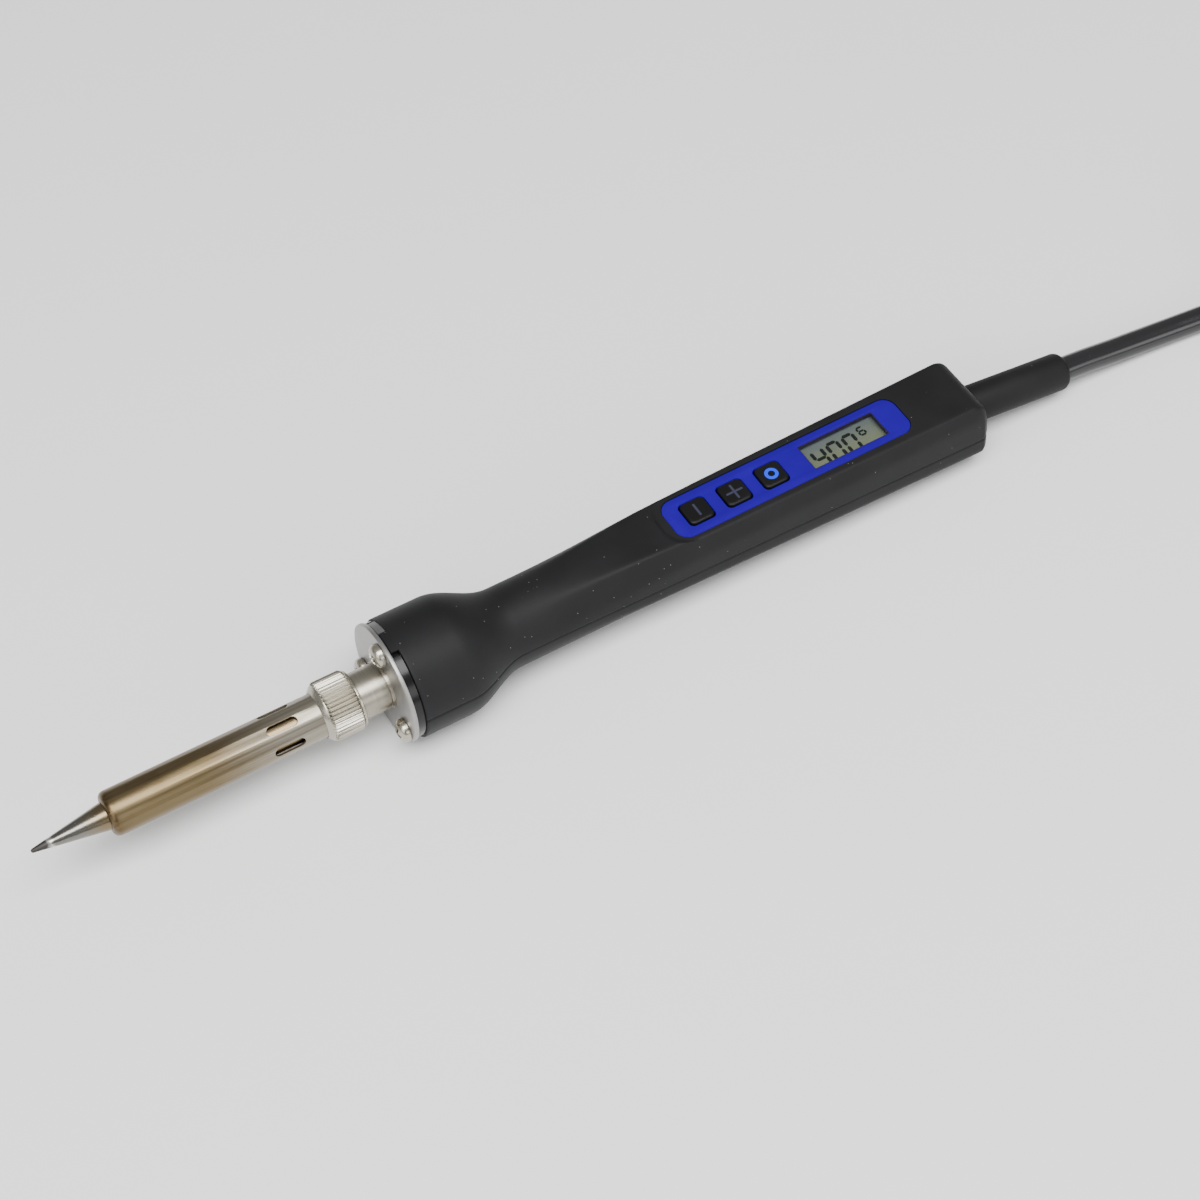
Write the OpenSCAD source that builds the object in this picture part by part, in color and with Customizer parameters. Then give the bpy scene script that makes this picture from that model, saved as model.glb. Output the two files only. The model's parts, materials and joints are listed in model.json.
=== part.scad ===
// Temperature-controlled soldering iron, lying on a bench with its mains lead put away in a hank.
// The iron is drawn along +X, from the tip to the cord, with the flange plate's front face at x = 0
// and the middle of the heating barrel on the X axis. lay_down() then sets it on the bench.

/* [Tip and sleeve] */
// Length of the tip's bare cone
tip_cone_len = 16.3; // [10:0.1:24]
// Radius of the cone's point
tip_point_r = 0.4; // [0.2:0.1:1]
// Radius of the cone where it enters the sleeve
tip_base_r = 3.1; // [2.6:0.1:3.4]
// Outer radius of the tip's hollow shank inside the sleeve
tip_shank_r = 3.9; // [3.4:0.1:4.1]
// Outer diameter of the stainless sleeve
sleeve_d = 10; // [9.2:0.1:12]
// Wall of the sleeve
sleeve_wall = 0.5; // [0.3:0.1:0.6]
// Bare length of the sleeve, from its front end to the collar nut
sleeve_len = 48; // [36:1:60]
// Radius of the sleeve's rounded front edge
sleeve_round = 1.5; // [0.8:0.1:2]
// Number of vent slots round the sleeve
slot_count = 6; // [3:1:8]
// Length of a vent slot
slot_len = 7; // [4:0.5:10]
// Width of a vent slot
slot_w = 2.2; // [1:0.1:3]
// Distance from the collar nut to the rear ends of the slots
slot_back = 5; // [3:0.5:10]

/* [Collar nut and barrel] */
// Length of the collar nut
nut_len = 8.8; // [7:0.1:12]
// Outer diameter of the collar nut
nut_d = 13.6; // [13.2:0.1:18]
// Length of barrel that shows between the collar nut and the flange plate
barrel_bare = 7.1; // [4:0.1:12]
// Outer diameter of the barrel tube
barrel_d = 10.6; // [10.2:0.1:11]
// Radius of the ceramic heating rod
heater_r = 1.9; // [1.5:0.1:2.4]

/* [Flange plate] */
// Diameter of the flange plate
plate_d = 27.4; // [25:0.1:30]
// Thickness of the flange plate
plate_t = 1; // [0.8:0.1:1.6]
// Distance of the three screws from the middle of the plate
screw_pitch_r = 10.6; // [9.6:0.1:11]
// Diameter of a screw's shank
screw_d = 2.9; // [2:0.1:3]
// Diameter of a screw's pan head
screw_head_d = 5.2; // [4:0.1:5.6]

/* [Handle] */
// Length of the handle, from the flange plate to its rear face
handle_len = 151.2; // [148:0.1:200]
// Radius of the round bulge at the front
bulge_r = 13.8; // [13.4:0.1:16]
// Length of the bulge
bulge_len = 14.3; // [13:0.1:20]
// Radius of the round neck behind the bulge
neck_r = 9.23; // [9:0.01:11]
// Distance from the flange plate to the neck
neck_x = 29; // [26:1:34]
// Width of the handle at its rear end, at the height of the shells' joint
rear_w = 21.2; // [20:0.1:26]
// Depth of the handle below the barrel's axis behind the neck
belly = 9.2; // [8.8:0.1:12]
// Height of the flat top above the axis, carried forward to the flange plate
top_h = 7.52; // [7.2:0.01:10]
// Angle by which the flat top rises towards the cord
top_rise = 0.98; // [0:0.01:2]
// Wall of the two shells
wall = 1.8; // [1.6:0.1:2]
// Height of the joint between the two shells above the axis
joint_z = 0.8; // [0.4:0.1:1.2]

/* [Control panel] */
// Distance from the flange plate to the middle of the panel
panel_x = 101.7; // [98:0.1:110]
// Length of the coloured panel
panel_len = 61.8; // [60:0.1:66]
// Width of the coloured panel
panel_w = 11.3; // [10.6:0.1:11.8]
// Radius of the panel's corners
panel_round = 3.2; // [1:0.1:5]
// Thickness of the panel
panel_t = 1; // [0.8:0.1:1.1]
// Side of a square button
button_w = 6.2; // [5:0.1:7]
// Distance from one button to the next
button_pitch = 9.75; // [9.4:0.05:10.5]
// Distance from the middle of the panel to the middle button
button_mid = 14.05; // [13:0.05:14.5]
// How far a button can be pressed
button_travel = 0.5; // [0.2:0.1:0.6]
// How far a button stands above the panel
button_proud = 0.5; // [0.2:0.1:0.8]
// Distance from the middle of the panel to the middle of the display
display_x = 15; // [14:0.1:16]
// Length of the display window
display_len = 20; // [16:0.1:22]
// Height of the display window
display_w = 7.4; // [6:0.1:8]

/* [Lead] */
// Diameter of the mains lead
cord_d = 6; // [5:0.1:7]
// Diameter of the rubber strain relief
boot_d = 9.05; // [8:0.05:9.6]
// Length of strain relief outside the handle
boot_len = 28.5; // [20:0.5:40]
// Length and width of the plug's body
plug_size = [50, 49]; // [44:1:56]
// Thickness of the plug's body
plug_t = 22; // [18:1:26]

/* [Hidden] */
$fn = 48;

// Clearances
run_gap = 0.08;    // radial gap of a piece that slides or turns on another
seat_gap = 0.05;   // gap of a piece that sits fixed in another
loose_gap = 0.3;   // gap round what only passes through

// Stations along the axis
nut_back = -barrel_bare;
nut_front = nut_back - nut_len;
sleeve_front = nut_front - sleeve_len;
tip_front = sleeve_front - tip_cone_len;
sleeve_r = sleeve_d / 2;
barrel_r = barrel_d / 2;
thread_r = barrel_r + 0.55;
nut_lip = 1.3;
flange_t = 1.2;
sleeve_tail = nut_front + nut_lip + seat_gap;
barrel_front = sleeve_tail + flange_t + seat_gap;
tip_back = barrel_front - 3;

// Layout of the two shells
front_gap = 0.2;
shell_front = 2.9;
tab_front = plate_t + front_gap;
tab_angles = [50, 101];
bulge_drop = 0.25;
cheek_angle = 32.9;
cheek_neck = 9.17;
cheek_mid = 10.75;
cheek_rear = 12.25;
side_lean = 7.4;
jaw_neck = 9.33;
jaw_rear = 10.75;
flat_front = panel_x - panel_len / 2 - 2.5;
rear_slope = 4.2;
rear_top = 5.8;
rear_wall_x = handle_len - 3;
boot_neck_r = boot_d / 2 - 0.5;
boot_hole_r = boot_neck_r + 0.4;
insert_r = bulge_r - bulge_drop - 1.25;
insert_back = 13;

// How the iron lies: on the rear edge of the bulge and on the rear of the belly
rest_tilt = atan((bulge_r + bulge_drop - belly) / (handle_len - rear_slope - bulge_len));
lift = bulge_len * sin(rest_tilt) + (bulge_r + bulge_drop) * cos(rest_tilt);
low_x = tip_front * cos(rest_tilt) - tip_point_r * sin(rest_tilt);
high_x = handle_len * cos(rest_tilt) + rear_top * sin(rest_tilt);
middle_x = (low_x + high_x) / 2;

module lay_down() {
    translate([-middle_x, 0, lift]) rotate([0, rest_tilt, 0]) children();
}

// A solid of revolution about X, from [x, r] points
module turned(points) {
    rotate([90, 0, 90]) rotate_extrude($fn = 96) polygon([for (p = points) [p[1], p[0]]]);
}

module x_rod(r, x0, x1, y = 0, z = 0) {
    translate([x0, y, z]) rotate([0, 90, 0]) cylinder(r = r, h = x1 - x0);
}

module round_plate(size, r, h) {
    linear_extrude(h) union() {
        square([size[0] - 2 * r, size[1]], center = true);
        square([size[0], size[1] - 2 * r], center = true);
        for (i = [-1, 1], j = [-1, 1])
            translate([i * (size[0] / 2 - r), j * (size[1] / 2 - r)]) circle(r);
    }
}

/* ---------- heating end ---------- */

cone_slope = (tip_base_r - tip_point_r) / tip_cone_len;
lip_r = tip_base_r + run_gap;
shoulder_r = sleeve_r - sleeve_wall - 0.3;
shoulder_x = sleeve_front + 1.45;

module tip() {
    color("silver") lay_down() difference() {
        turned([[tip_front, 0], [tip_front, tip_point_r], [sleeve_front, tip_base_r],
            [shoulder_x, tip_base_r], [shoulder_x, shoulder_r], [shoulder_x + 2, shoulder_r],
            [shoulder_x + 2, tip_shank_r], [tip_back, tip_shank_r], [tip_back, 0]]);
        x_rod(heater_r + run_gap, shoulder_x + 4, tip_back + 1);
    }
}

module sleeve() {
    slot_x = nut_front - slot_back - slot_len / 2;
    inner_r = sleeve_r - sleeve_wall;
    color("darkgoldenrod") lay_down() difference() {
        turned([[sleeve_front, lip_r], [sleeve_front, sleeve_r - sleeve_round],
            for (a = [75:-15:0]) [sleeve_front + sleeve_round - sleeve_round * sin(a),
                sleeve_r - sleeve_round + sleeve_round * cos(a)],
            [sleeve_tail, sleeve_r], [sleeve_tail, thread_r], [sleeve_tail + flange_t, thread_r],
            [sleeve_tail + flange_t, inner_r], [sleeve_front + 1.4, inner_r],
            [sleeve_front + 1.4, lip_r]]);
        for (i = [0 : slot_count - 1]) rotate([i * 360 / slot_count + 50, 0, 0]) {
            for (s = [-1, 1]) translate([slot_x + s * (slot_len - slot_w) / 2, inner_r - 1.5, 0])
                rotate([-90, 0, 0]) cylinder(r = slot_w / 2, h = 4);
            translate([slot_x - (slot_len - slot_w) / 2, inner_r - 1.5, -slot_w / 2])
                cube([slot_len - slot_w, 4, slot_w]);
        }
    }
}

module collar_nut() {
    nut_r = nut_d / 2;
    bore_r = thread_r + run_gap;
    color("lightgray") lay_down() turned([[nut_front, sleeve_r + run_gap],
        [nut_front, sleeve_r + 0.4], [nut_front + 1.5, nut_r - 0.05], [nut_front + 2, nut_r],
        [nut_back - 0.4, nut_r], [nut_back, nut_r - 0.35], [nut_back, bore_r],
        [nut_front + nut_lip, bore_r], [nut_front + nut_lip, sleeve_r + run_gap]]);
}

barrel_bore_r = barrel_r - 1;
barrel_foot_r = barrel_r + 1.7;

module barrel_tube() {
    step_x = -0.65;
    color("silver") lay_down() difference() {
        turned([[barrel_front, 0], [barrel_front, thread_r], [nut_back - 1.3, thread_r],
            [nut_back - 1.3, barrel_r], [step_x, barrel_r], [step_x, barrel_r + 0.12],
            [plate_t + seat_gap, barrel_r + 0.12], [plate_t + seat_gap, barrel_foot_r],
            [plate_t + 1.25, barrel_foot_r], [plate_t + 1.25, 0]]);
        x_rod(barrel_bore_r, barrel_front - 1, plate_t + 3);
    }
}

module heater_rod() {
    color("white") lay_down() x_rod(heater_r, shoulder_x + 5, insert_back + 1);
}

module heater_base() {
    color("wheat") lay_down() difference() {
        x_rod(barrel_bore_r - seat_gap, nut_back, insert_back - 1);
        x_rod(heater_r + seat_gap, nut_back - 1, insert_back);
    }
}

module flange_plate() {
    color("gainsboro") lay_down() difference() {
        turned([[0, 0], [0, plate_d / 2 - 0.15], [0.15, plate_d / 2], [plate_t - 0.15, plate_d / 2],
            [plate_t, plate_d / 2 - 0.15], [plate_t, 0]]);
        x_rod(barrel_r + 0.12 + seat_gap, -1, plate_t + 1);
        for (a = screw_angles) rotate([a, 0, 0])
            x_rod(screw_d / 2 + seat_gap, -1, plate_t + 1, screw_pitch_r, 0);
    }
}

screw_angles = [90, 210, 330];
flange_screw_len = 8;

module flange_screw(i) {
    head_r = screw_head_d / 2;
    color("silver") lay_down() rotate([screw_angles[i], 0, 0]) translate([0, screw_pitch_r, 0])
        difference() {
            turned([[-1.8, 0], [-1.8, head_r * 0.45], [-1.45, head_r * 0.8], [-0.9, head_r],
                [0, head_r], [0, screw_d / 2], [flange_screw_len, screw_d / 2],
                [flange_screw_len, 0]]);
            for (s = [0, 90]) rotate([s, 0, 0]) translate([-2, -1.3, -0.25]) cube([1.2, 2.6, 0.5]);
        }
}

/* ---------- handle ---------- */

function top_z(x) = top_h + x * tan(top_rise);
function ease(t) = (1 - cos(180 * max(0, min(1, t)))) / 2;
function mix(a, b, t) = a + (b - a) * t;

// Radius of the round part: bulge, shoulder and neck
function round_r(x) = mix(bulge_r, neck_r, ease((x - bulge_len) / (neck_x - bulge_len)));

// Distances of the flats from the axis at x: top, cheek, side, jaw and belly
rear_x = handle_len - rear_slope;
function to_rear(x) = max(0, (x - rear_x) / rear_slope);
function flat_top(x) = mix(x < flat_front ? neck_r + 0.1 : top_z(min(x, rear_x)), rear_top,
    to_rear(x));
function cheek(x) = mix(lookup(x, [[neck_x, cheek_neck], [80, cheek_mid], [rear_x, cheek_rear]]),
    9.8, to_rear(x));
function side(x) = mix(lookup(x, [[neck_x, neck_r], [rear_x, rear_w / 2]]), rear_w / 2 - 0.4,
    to_rear(x)) * cos(side_lean) + joint_z * sin(side_lean);
function jaw(x) = mix(lookup(x, [[neck_x + 26, jaw_neck], [rear_x, jaw_rear]]), jaw_rear - 0.3,
    to_rear(x));

// A flat's reach in the direction phi, from the middle of the shells' joint
function pull(phi, normal, d, p) =
    pow(max(cos(phi - normal), 0.001) / (d - joint_z * sin(normal)), p);

// Radius of the flatted section at x in the direction phi
function flat_r(x, phi, p) = pow(pull(phi, side_lean, side(x), p) + pull(phi, 180 - side_lean, side(x), p)
    + pull(phi, cheek_angle, cheek(x), p) + pull(phi, 180 - cheek_angle, cheek(x), p)
    + pull(phi, 90, flat_top(x), p) + pull(phi, -cheek_angle, jaw(x), p)
    + pull(phi, 180 + cheek_angle, jaw(x), p) + pull(phi, -90, belly, p), -1 / p);

// Radius of the round section in the direction phi
function ring_r(x, phi) = let (c = -bulge_drop - joint_z)
    c * sin(phi) + sqrt(pow(round_r(x), 2) - pow(c * cos(phi), 2));

function outer_r(x, phi) = let (t = ease((x - neck_x) / (flat_front - neck_x)))
    t == 0 ? ring_r(x, phi) : mix(ring_r(x, phi), flat_r(x, phi, mix(12, 40, t)), t);

stations = [shell_front, bulge_len, for (i = [1 : 8]) mix(bulge_len, neck_x, i / 8),
    for (i = [1 : 3]) mix(neck_x, flat_front - 2.5, i / 3), flat_front, rear_x, handle_len];
top_angles = [0, 12, 22, 28, 35, 43, 48, 52, 60, 70, 80, 90];
low_angles = [0, 12, 22, 29, 38, 48, 56, 62, 72, 81, 90];

function both_sides(list) = concat(list, [for (i = [len(list) - 2 : -1 : 0]) 180 - list[i]]);
upper_angles = both_sides(top_angles);
lower_angles = [for (a = both_sides(low_angles)) -a];

function ring_point(x, r, phi) = [x, r * cos(phi), joint_z + r * sin(phi)];

// The outline of half the handle at x, closed past the joint between the shells
function outline(x, angles, inset, past) = let (
    arc = [for (phi = angles) ring_point(x, outer_r(x, phi) - inset, phi)])
    concat(arc, past == 0 ? [] : [arc[len(arc) - 1] + [0, 0, past], arc[0] + [0, 0, past]]);

module half(angles, inset, from_x, to_x, past = 0) {
    xs = concat([from_x], [for (x = stations) if (x > from_x && x < to_x) x], [to_x]);
    for (i = [0 : len(xs) - 2]) {
        points = concat(outline(xs[i], angles, inset, past), outline(xs[i + 1], angles, inset, past));
        hull() polyhedron(points, [[for (k = [0 : len(points) - 1]) k]]);
    }
}

// One shell of the handle, open towards the other and closed at the rear round the strain relief
module shell_half(angles, side) {
    difference() {
        half(angles, 0, shell_front, handle_len);
        half(angles, wall, shell_front - 1, rear_wall_x, -side);
        x_rod(insert_r + seat_gap, shell_front - 1, insert_back + front_gap);
        x_rod(boot_hole_r, rear_wall_x - 1, handle_len + 1, 0, joint_z);
    }
}

// The upper shell's tab, which reaches forward to the flange plate
module front_tab() {
    intersection() {
        difference() {
            x_rod(bulge_r - 0.02, tab_front, shell_front + 1, 0, -bulge_drop);
            x_rod(insert_r + bulge_drop + seat_gap, tab_front - 1, shell_front + 2, 0, -bulge_drop);
        }
        rotate([90, 0, 90]) linear_extrude(shell_front + 1) polygon([[0, 0],
            for (a = [tab_angles[0], 75, tab_angles[1]]) 40 * [cos(a), sin(a)]]);
    }
}

// Places of the case screws: one behind the neck and two beside the strain relief
case_screws = [[neck_x + 19, 0], [handle_len - 11.7, -5.9], [handle_len - 11.7, 5.9]];
small_screw_r = 1.1;
small_head_r = 1.9;
boss_r = 2.3;
head_well_r = small_head_r + loose_gap;
boss_foot_r = head_well_r + 0.5;
case_screw_seat = -belly + 3.7;
clamp_x = handle_len - 17.7;
clamp_screws = [[clamp_x, -4.6], [clamp_x, 4.6]];
clamp_floor = -4.9;

module at_points(list) {
    for (p = list) translate([p[0], p[1], 0]) children();
}

module upper_shell() {
    color([0.16, 0.16, 0.17]) lay_down() difference() {
        union() {
            shell_half(upper_angles, 1);
            front_tab();
            for (p = case_screws) translate([p[0], p[1], joint_z])
                cylinder(r = boss_r, h = (p[1] == 0 ? flat_top(p[0]) : top_z(p[0]) - 1)
                    - wall / 2 - joint_z);
            on_panel() at_points(board_screws) translate([0, 0, board_top + seat_gap])
                cylinder(r = 1.5, h = -board_top - wall / 2);
        }
        on_panel() translate([0, 0, -panel_seat])
            round_plate([panel_len + 0.2, panel_w + 0.2], panel_round + 0.1, 4);
        on_panel() translate([-button_mid, 0, -5])
            round_plate([2 * button_pitch + button_w + 1.8, button_w + 1.8], 0.8, 6);
        on_panel() translate([display_x, 0, -5])
            round_plate([display_len + 0.6, display_w + 0.6], 0.4, 6);
        at_points(case_screws) translate([0, 0, joint_z - 1])
            cylinder(r = small_screw_r + seat_gap, h = 6.5);
        on_panel() at_points(board_screws) translate([0, 0, board_top - 1])
            cylinder(r = board_screw_r + seat_gap, h = 4.2);
    }
}

module lower_shell() {
    color([0.16, 0.16, 0.17]) lay_down() difference() {
        union() {
            shell_half(lower_angles, -1);
            at_points(case_screws) translate([0, 0, case_screw_seat])
                cylinder(r = boss_r, h = joint_z - case_screw_seat);
            intersection() {
                at_points(case_screws) translate([0, 0, -belly - 1])
                    cylinder(r = boss_foot_r, h = case_screw_seat + belly + 2.2);
                half(lower_angles, wall / 2, case_screws[0][0] - 4, case_screws[1][0] + 4);
            }
            at_points(clamp_screws) translate([0, 0, -belly + wall / 2])
                cylinder(r = boss_r, h = belly - wall / 2 + clamp_floor);
        }
        at_points(case_screws) {
            translate([0, 0, -belly - 1]) cylinder(r = small_screw_r + seat_gap, h = belly + 3);
            translate([0, 0, -belly - 1]) cylinder(r = head_well_r, h = case_screw_seat + belly + 1);
        }
        at_points(clamp_screws) translate([0, 0, clamp_floor - 3.2])
            cylinder(r = small_screw_r + seat_gap, h = 4);
    }
}

module case_screw(i) {
    head_h = 1.3;
    color("dimgray") lay_down() at_points([case_screws[i]]) translate([0, 0, case_screw_seat]) {
        difference() {
            translate([0, 0, -head_h]) cylinder(r = small_head_r, h = head_h);
            for (s = [0, 90]) rotate(s) translate([-1, -0.2, -head_h - 1]) cube([2, 0.4, 1.7]);
        }
        cylinder(r = small_screw_r, h = 6 - case_screw_seat);
    }
}

module front_insert() {
    ring_back = shell_front - front_gap;
    color([0.04, 0.04, 0.05]) lay_down() difference() {
        union() {
            x_rod(bulge_r - 0.5, plate_t, ring_back);
            x_rod(insert_r, plate_t + 0.5, insert_back);
        }
        difference() {
            rotate([90, 0, 90]) linear_extrude(10) polygon([[0, 0],
                for (a = [tab_angles[0] - 5, 75, tab_angles[1] + 5]) 40 * [cos(a), sin(a)]]);
            x_rod(insert_r, -1, 11);
        }
        x_rod(barrel_foot_r + seat_gap, plate_t - 1, plate_t + 1.3);
        x_rod(barrel_bore_r + seat_gap, plate_t, insert_back + 1);
        for (a = screw_angles) rotate([a, 0, 0])
            x_rod(screw_d / 2 + seat_gap, plate_t - 1, flange_screw_len + 1, screw_pitch_r, 0);
    }
}

/* ---------- control panel ---------- */

panel_sink = 0.15;
panel_seat = panel_t + panel_sink + seat_gap;
board_top = -5.6;
board_t = 1.6;
board_len = 68;
board_w = 13.4;
board_mid = -5;

// Frame of the flat top, with its origin over the middle of the panel
module on_panel() {
    translate([panel_x, 0, top_z(panel_x)]) rotate([0, -top_rise, 0]) children();
}

function button_x(i) = -button_mid + (i - 1) * button_pitch;

module panel() {
    color([0.10, 0.07, 0.71]) lay_down() on_panel() difference() {
        translate([0, 0, -panel_sink - panel_t]) round_plate([panel_len, panel_w], panel_round, panel_t);
        for (i = [0 : 2]) translate([button_x(i), 0, -3])
            round_plate([button_w + 0.5, button_w + 0.5], 1.2, 4);
        translate([display_x, 0, -3]) round_plate([display_len, display_w], 0.3, 4);
    }
}

module display_lens() {
    color([0.8, 0.85, 0.85, 0.4]) lay_down() on_panel() translate([display_x, 0, -1.85])
        round_plate([display_len + 0.2, display_w + 0.2], 0.3, 0.6);
}

glass_top = -2.05;

module display_glass() {
    color([0.62, 0.66, 0.58]) lay_down() on_panel() translate([display_x, 0, glass_top - 1.1])
        round_plate([display_len + 2, display_w + 2], 0.2, 1.1);
}

module display_holder() {
    color("black") lay_down() on_panel() translate([display_x, 0, 0]) difference() {
        translate([0, 0, board_top]) round_plate([display_len + 4, display_w + 4], 0.5,
            glass_top - board_top);
        translate([0, 0, glass_top - 1.15])
            round_plate([display_len + 2.1, display_w + 2.1], 0.2, 2);
    }
}

switch_h = 2.2;
plunger_r = 1.5;

module button(i) {
    cap_low = -panel_sink - panel_t - seat_gap;
    color([0.09, 0.09, 0.1]) lay_down() on_panel() translate([button_x(i), 0, 0]) {
        translate([0, 0, cap_low]) round_plate([button_w, button_w], 0.9,
            button_proud - panel_sink - cap_low);
        translate([0, 0, cap_low - 0.6]) round_plate([button_w + 1, button_w + 1], 0.6, 0.6);
        translate([0, 0, board_top + 0.7]) cylinder(r = plunger_r, h = cap_low - 0.6 - board_top - 0.7);
    }
}

module button_switch(i) {
    color("darkslategray") lay_down() on_panel() translate([button_x(i), 0, board_top]) difference() {
        translate([-3, -3, 0]) cube([6, 6, switch_h]);
        translate([0, 0, 0.15]) cylinder(r = plunger_r + run_gap, h = 4);
    }
}

board_screws = [[-36.5, 0], [1.2, 0]];
board_screw_r = 0.9;

module circuit_board() {
    color("darkgreen") lay_down() on_panel() difference() {
        translate([board_mid - board_len / 2, -board_w / 2, board_top - board_t])
            cube([board_len, board_w, board_t]);
        at_points(board_screws) translate([0, 0, board_top - 3])
            cylinder(r = board_screw_r + seat_gap, h = 4);
    }
}

module board_screw(i) {
    color("silver") lay_down() on_panel() at_points([board_screws[i]])
        translate([0, 0, board_top - board_t]) {
            translate([0, 0, -1.2]) cylinder(r = 1.7, h = 1.2);
            cylinder(r = board_screw_r, h = board_t + 3);
        }
}

// A component under the board: a block of the given size at [x, y] from the panel's middle
module under_board(x, y, size) {
    on_panel() translate([x - size[0] / 2, y - size[1] / 2, board_top - board_t - size[2]])
        cube(size);
}

module controller_chip() {
    color([0.1, 0.1, 0.1]) lay_down() under_board(display_x, 0, [12, 8, 1.6]);
}

module triac() {
    color([0.12, 0.12, 0.12]) lay_down() under_board(-22, 0, [10, 9, 3.2]);
}

module capacitor() {
    color("goldenrod") lay_down() under_board(-9, 0, [13, 6, 6]);
}

module terminal_block() {
    color("green") lay_down() under_board(24, 0, [5, 10, 7]);
}

// A wire from the heating rod to the circuit board, past the boss of the front case screw
module inner_lead(tint, y, z) {
    color(tint) lay_down() x_rod(0.7, insert_back + 1.2, panel_x - 29, y, z);
}

/* ---------- strain relief, lead and plug ---------- */

boot_pitch = 5.43;
boot_yaw = -1.43;

// Frame of the strain relief, along the lead where it leaves the handle
module on_boot() {
    translate([handle_len - 1.5, 0, joint_z]) rotate([0, boot_pitch, boot_yaw]) children();
}

module strain_relief() {
    end_r = boot_d / 2;
    end_x = boot_len + 1.5;
    round = 1.6;
    color([0.13, 0.13, 0.13]) lay_down() on_boot() turned([[-5, 0], [-5, end_r + 1],
        [-2.5, end_r + 1], [-2.5, boot_neck_r], [2.1, boot_neck_r], [2.1, end_r],
        [end_x - round, end_r],
        for (a = [75:-15:0]) [end_x - round + round * cos(a), end_r - round + round * sin(a)],
        [end_x, 0]]);
}

sheath_z = joint_z - 0.2;

module lead_end() {
    color([0.05, 0.05, 0.05]) lay_down()
        x_rod(cord_d / 2, clamp_x - 2.4, handle_len - 6.9, 0, sheath_z);
}

module cord_clamp() {
    top = sheath_z - cord_d / 2 - seat_gap;
    color("dimgray") lay_down() difference() {
        translate([clamp_x - 2.5, -7, clamp_floor]) cube([5, 14, top - clamp_floor]);
        at_points(clamp_screws) translate([0, 0, clamp_floor - 1])
            cylinder(r = small_screw_r + seat_gap, h = 5);
    }
}

module clamp_screw(i) {
    top = sheath_z - cord_d / 2 - seat_gap;
    color("silver") lay_down() at_points([clamp_screws[i]]) {
        translate([0, 0, top]) cylinder(r = small_head_r, h = 1.2);
        translate([0, 0, clamp_floor - 3]) cylinder(r = small_screw_r, h = top - clamp_floor + 3);
    }
}

// Where the lead leaves the strain relief, on the bench
boot_tip_x = boot_len + 1.5;
boot_out = [boot_tip_x * cos(boot_pitch) * cos(boot_yaw), boot_tip_x * cos(boot_pitch) * sin(boot_yaw),
    -boot_tip_x * sin(boot_pitch)] + [handle_len - 1.5, 0, joint_z];
boot_end = [boot_out[0] * cos(rest_tilt) + boot_out[2] * sin(rest_tilt) - middle_x, boot_out[1],
    boot_out[2] * cos(rest_tilt) - boot_out[0] * sin(rest_tilt) + lift];

// The lead's route on the bench, from the strain relief to the hank and from the hank to the plug
lead_points = [[150, -0.9, 5.3], [158, -1.3, 4.3], [166, -1.8, 3.6], [174, -2.5, 3.2],
    [182, -3.4, 3.1], [188, -3.95, 3.1], [195, -3, 3.1], [202, -0.36, 3.2], [209, 3.25, 3.3],
    [216, 6.97, 3.5], [223, 9.8, 3.7], [231, 11, 3.8]];
tail_points = [[327, 11, 9.8], [335, 9.9, 9.9], [343, 6.7, 10.1], [351, 2.2, 10.3],
    [359, -2.8, 10.6], [367, -7.2, 10.8], [375, -10.1, 11], [382, -11, 11]];
hank_mid = [279, -13];
hank_half = 48;
fold_r = 24;
waist = 9.4;
tie_t = 0.8;
hank_h = 2 * cord_d;

// A tube along a route, as rings that stand across it
module tube(route, r, sides = 10) {
    count = len(route);
    function along(i) = route[min(i + 1, count - 1)] - route[max(i - 1, 0)];
    points = [for (i = [0 : count - 1]) let (d = along(i) / norm(along(i)),
            across = cross([0, 0, 1], d) / norm(cross([0, 0, 1], d)), up = cross(d, across))
        for (k = [0 : sides - 1]) route[i] + r * (across * cos(360 * k / sides)
            + up * sin(360 * k / sides))];
    faces = [for (i = [0 : count - 2], k = [0 : sides - 1])
        let (a = i * sides + k, b = i * sides + (k + 1) % sides)
        each [[a, a + sides, b], [b, a + sides, b + sides]]];
    caps = [[for (k = [0 : sides - 1]) k], [for (k = [sides - 1 : -1 : 0]) (count - 1) * sides + k]];
    polyhedron(points, concat(faces, caps), convexity = 4);
}

module lead(route) {
    color([0.05, 0.05, 0.05]) tube(route, cord_d / 2);
}

// Half width of the hank at a distance t from its middle: drawn in under the tie
function hank_w(t) = cord_d / 2 + mix(waist, fold_r, ease((abs(t) - 4) / (hank_half - 4)));

module cord_hank() {
    steps = [-hank_half : 8 : hank_half];
    end_r = fold_r + cord_d / 2;
    color([0.05, 0.05, 0.05]) translate([hank_mid[0], hank_mid[1], tie_t]) linear_extrude(hank_h)
        polygon([for (t = steps) [t, hank_w(t)],
            for (a = [75 : -15 : -75]) [hank_half + end_r * cos(a), end_r * sin(a)],
            for (t = steps) [-t, -hank_w(t)],
            for (a = [255 : -15 : 105]) [-hank_half + end_r * cos(a), end_r * sin(a)]]);
}

module cord_tie() {
    half_w = hank_w(8) + seat_gap;
    color([0.2, 0.2, 0.2]) translate([hank_mid[0] - 4, hank_mid[1], 0]) difference() {
        translate([0, -half_w - tie_t, 0]) cube([8, 2 * (half_w + tie_t), hank_h + 2 * tie_t]);
        translate([-1, -half_w, tie_t]) cube([10, 2 * half_w, hank_h]);
    }
}

plug_at = [382, -11, 0];
pin_root = plug_t;
carrier_size = [26, 8.6];
carrier_mid = [30.5, 0];
carrier_depth = 8;

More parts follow.
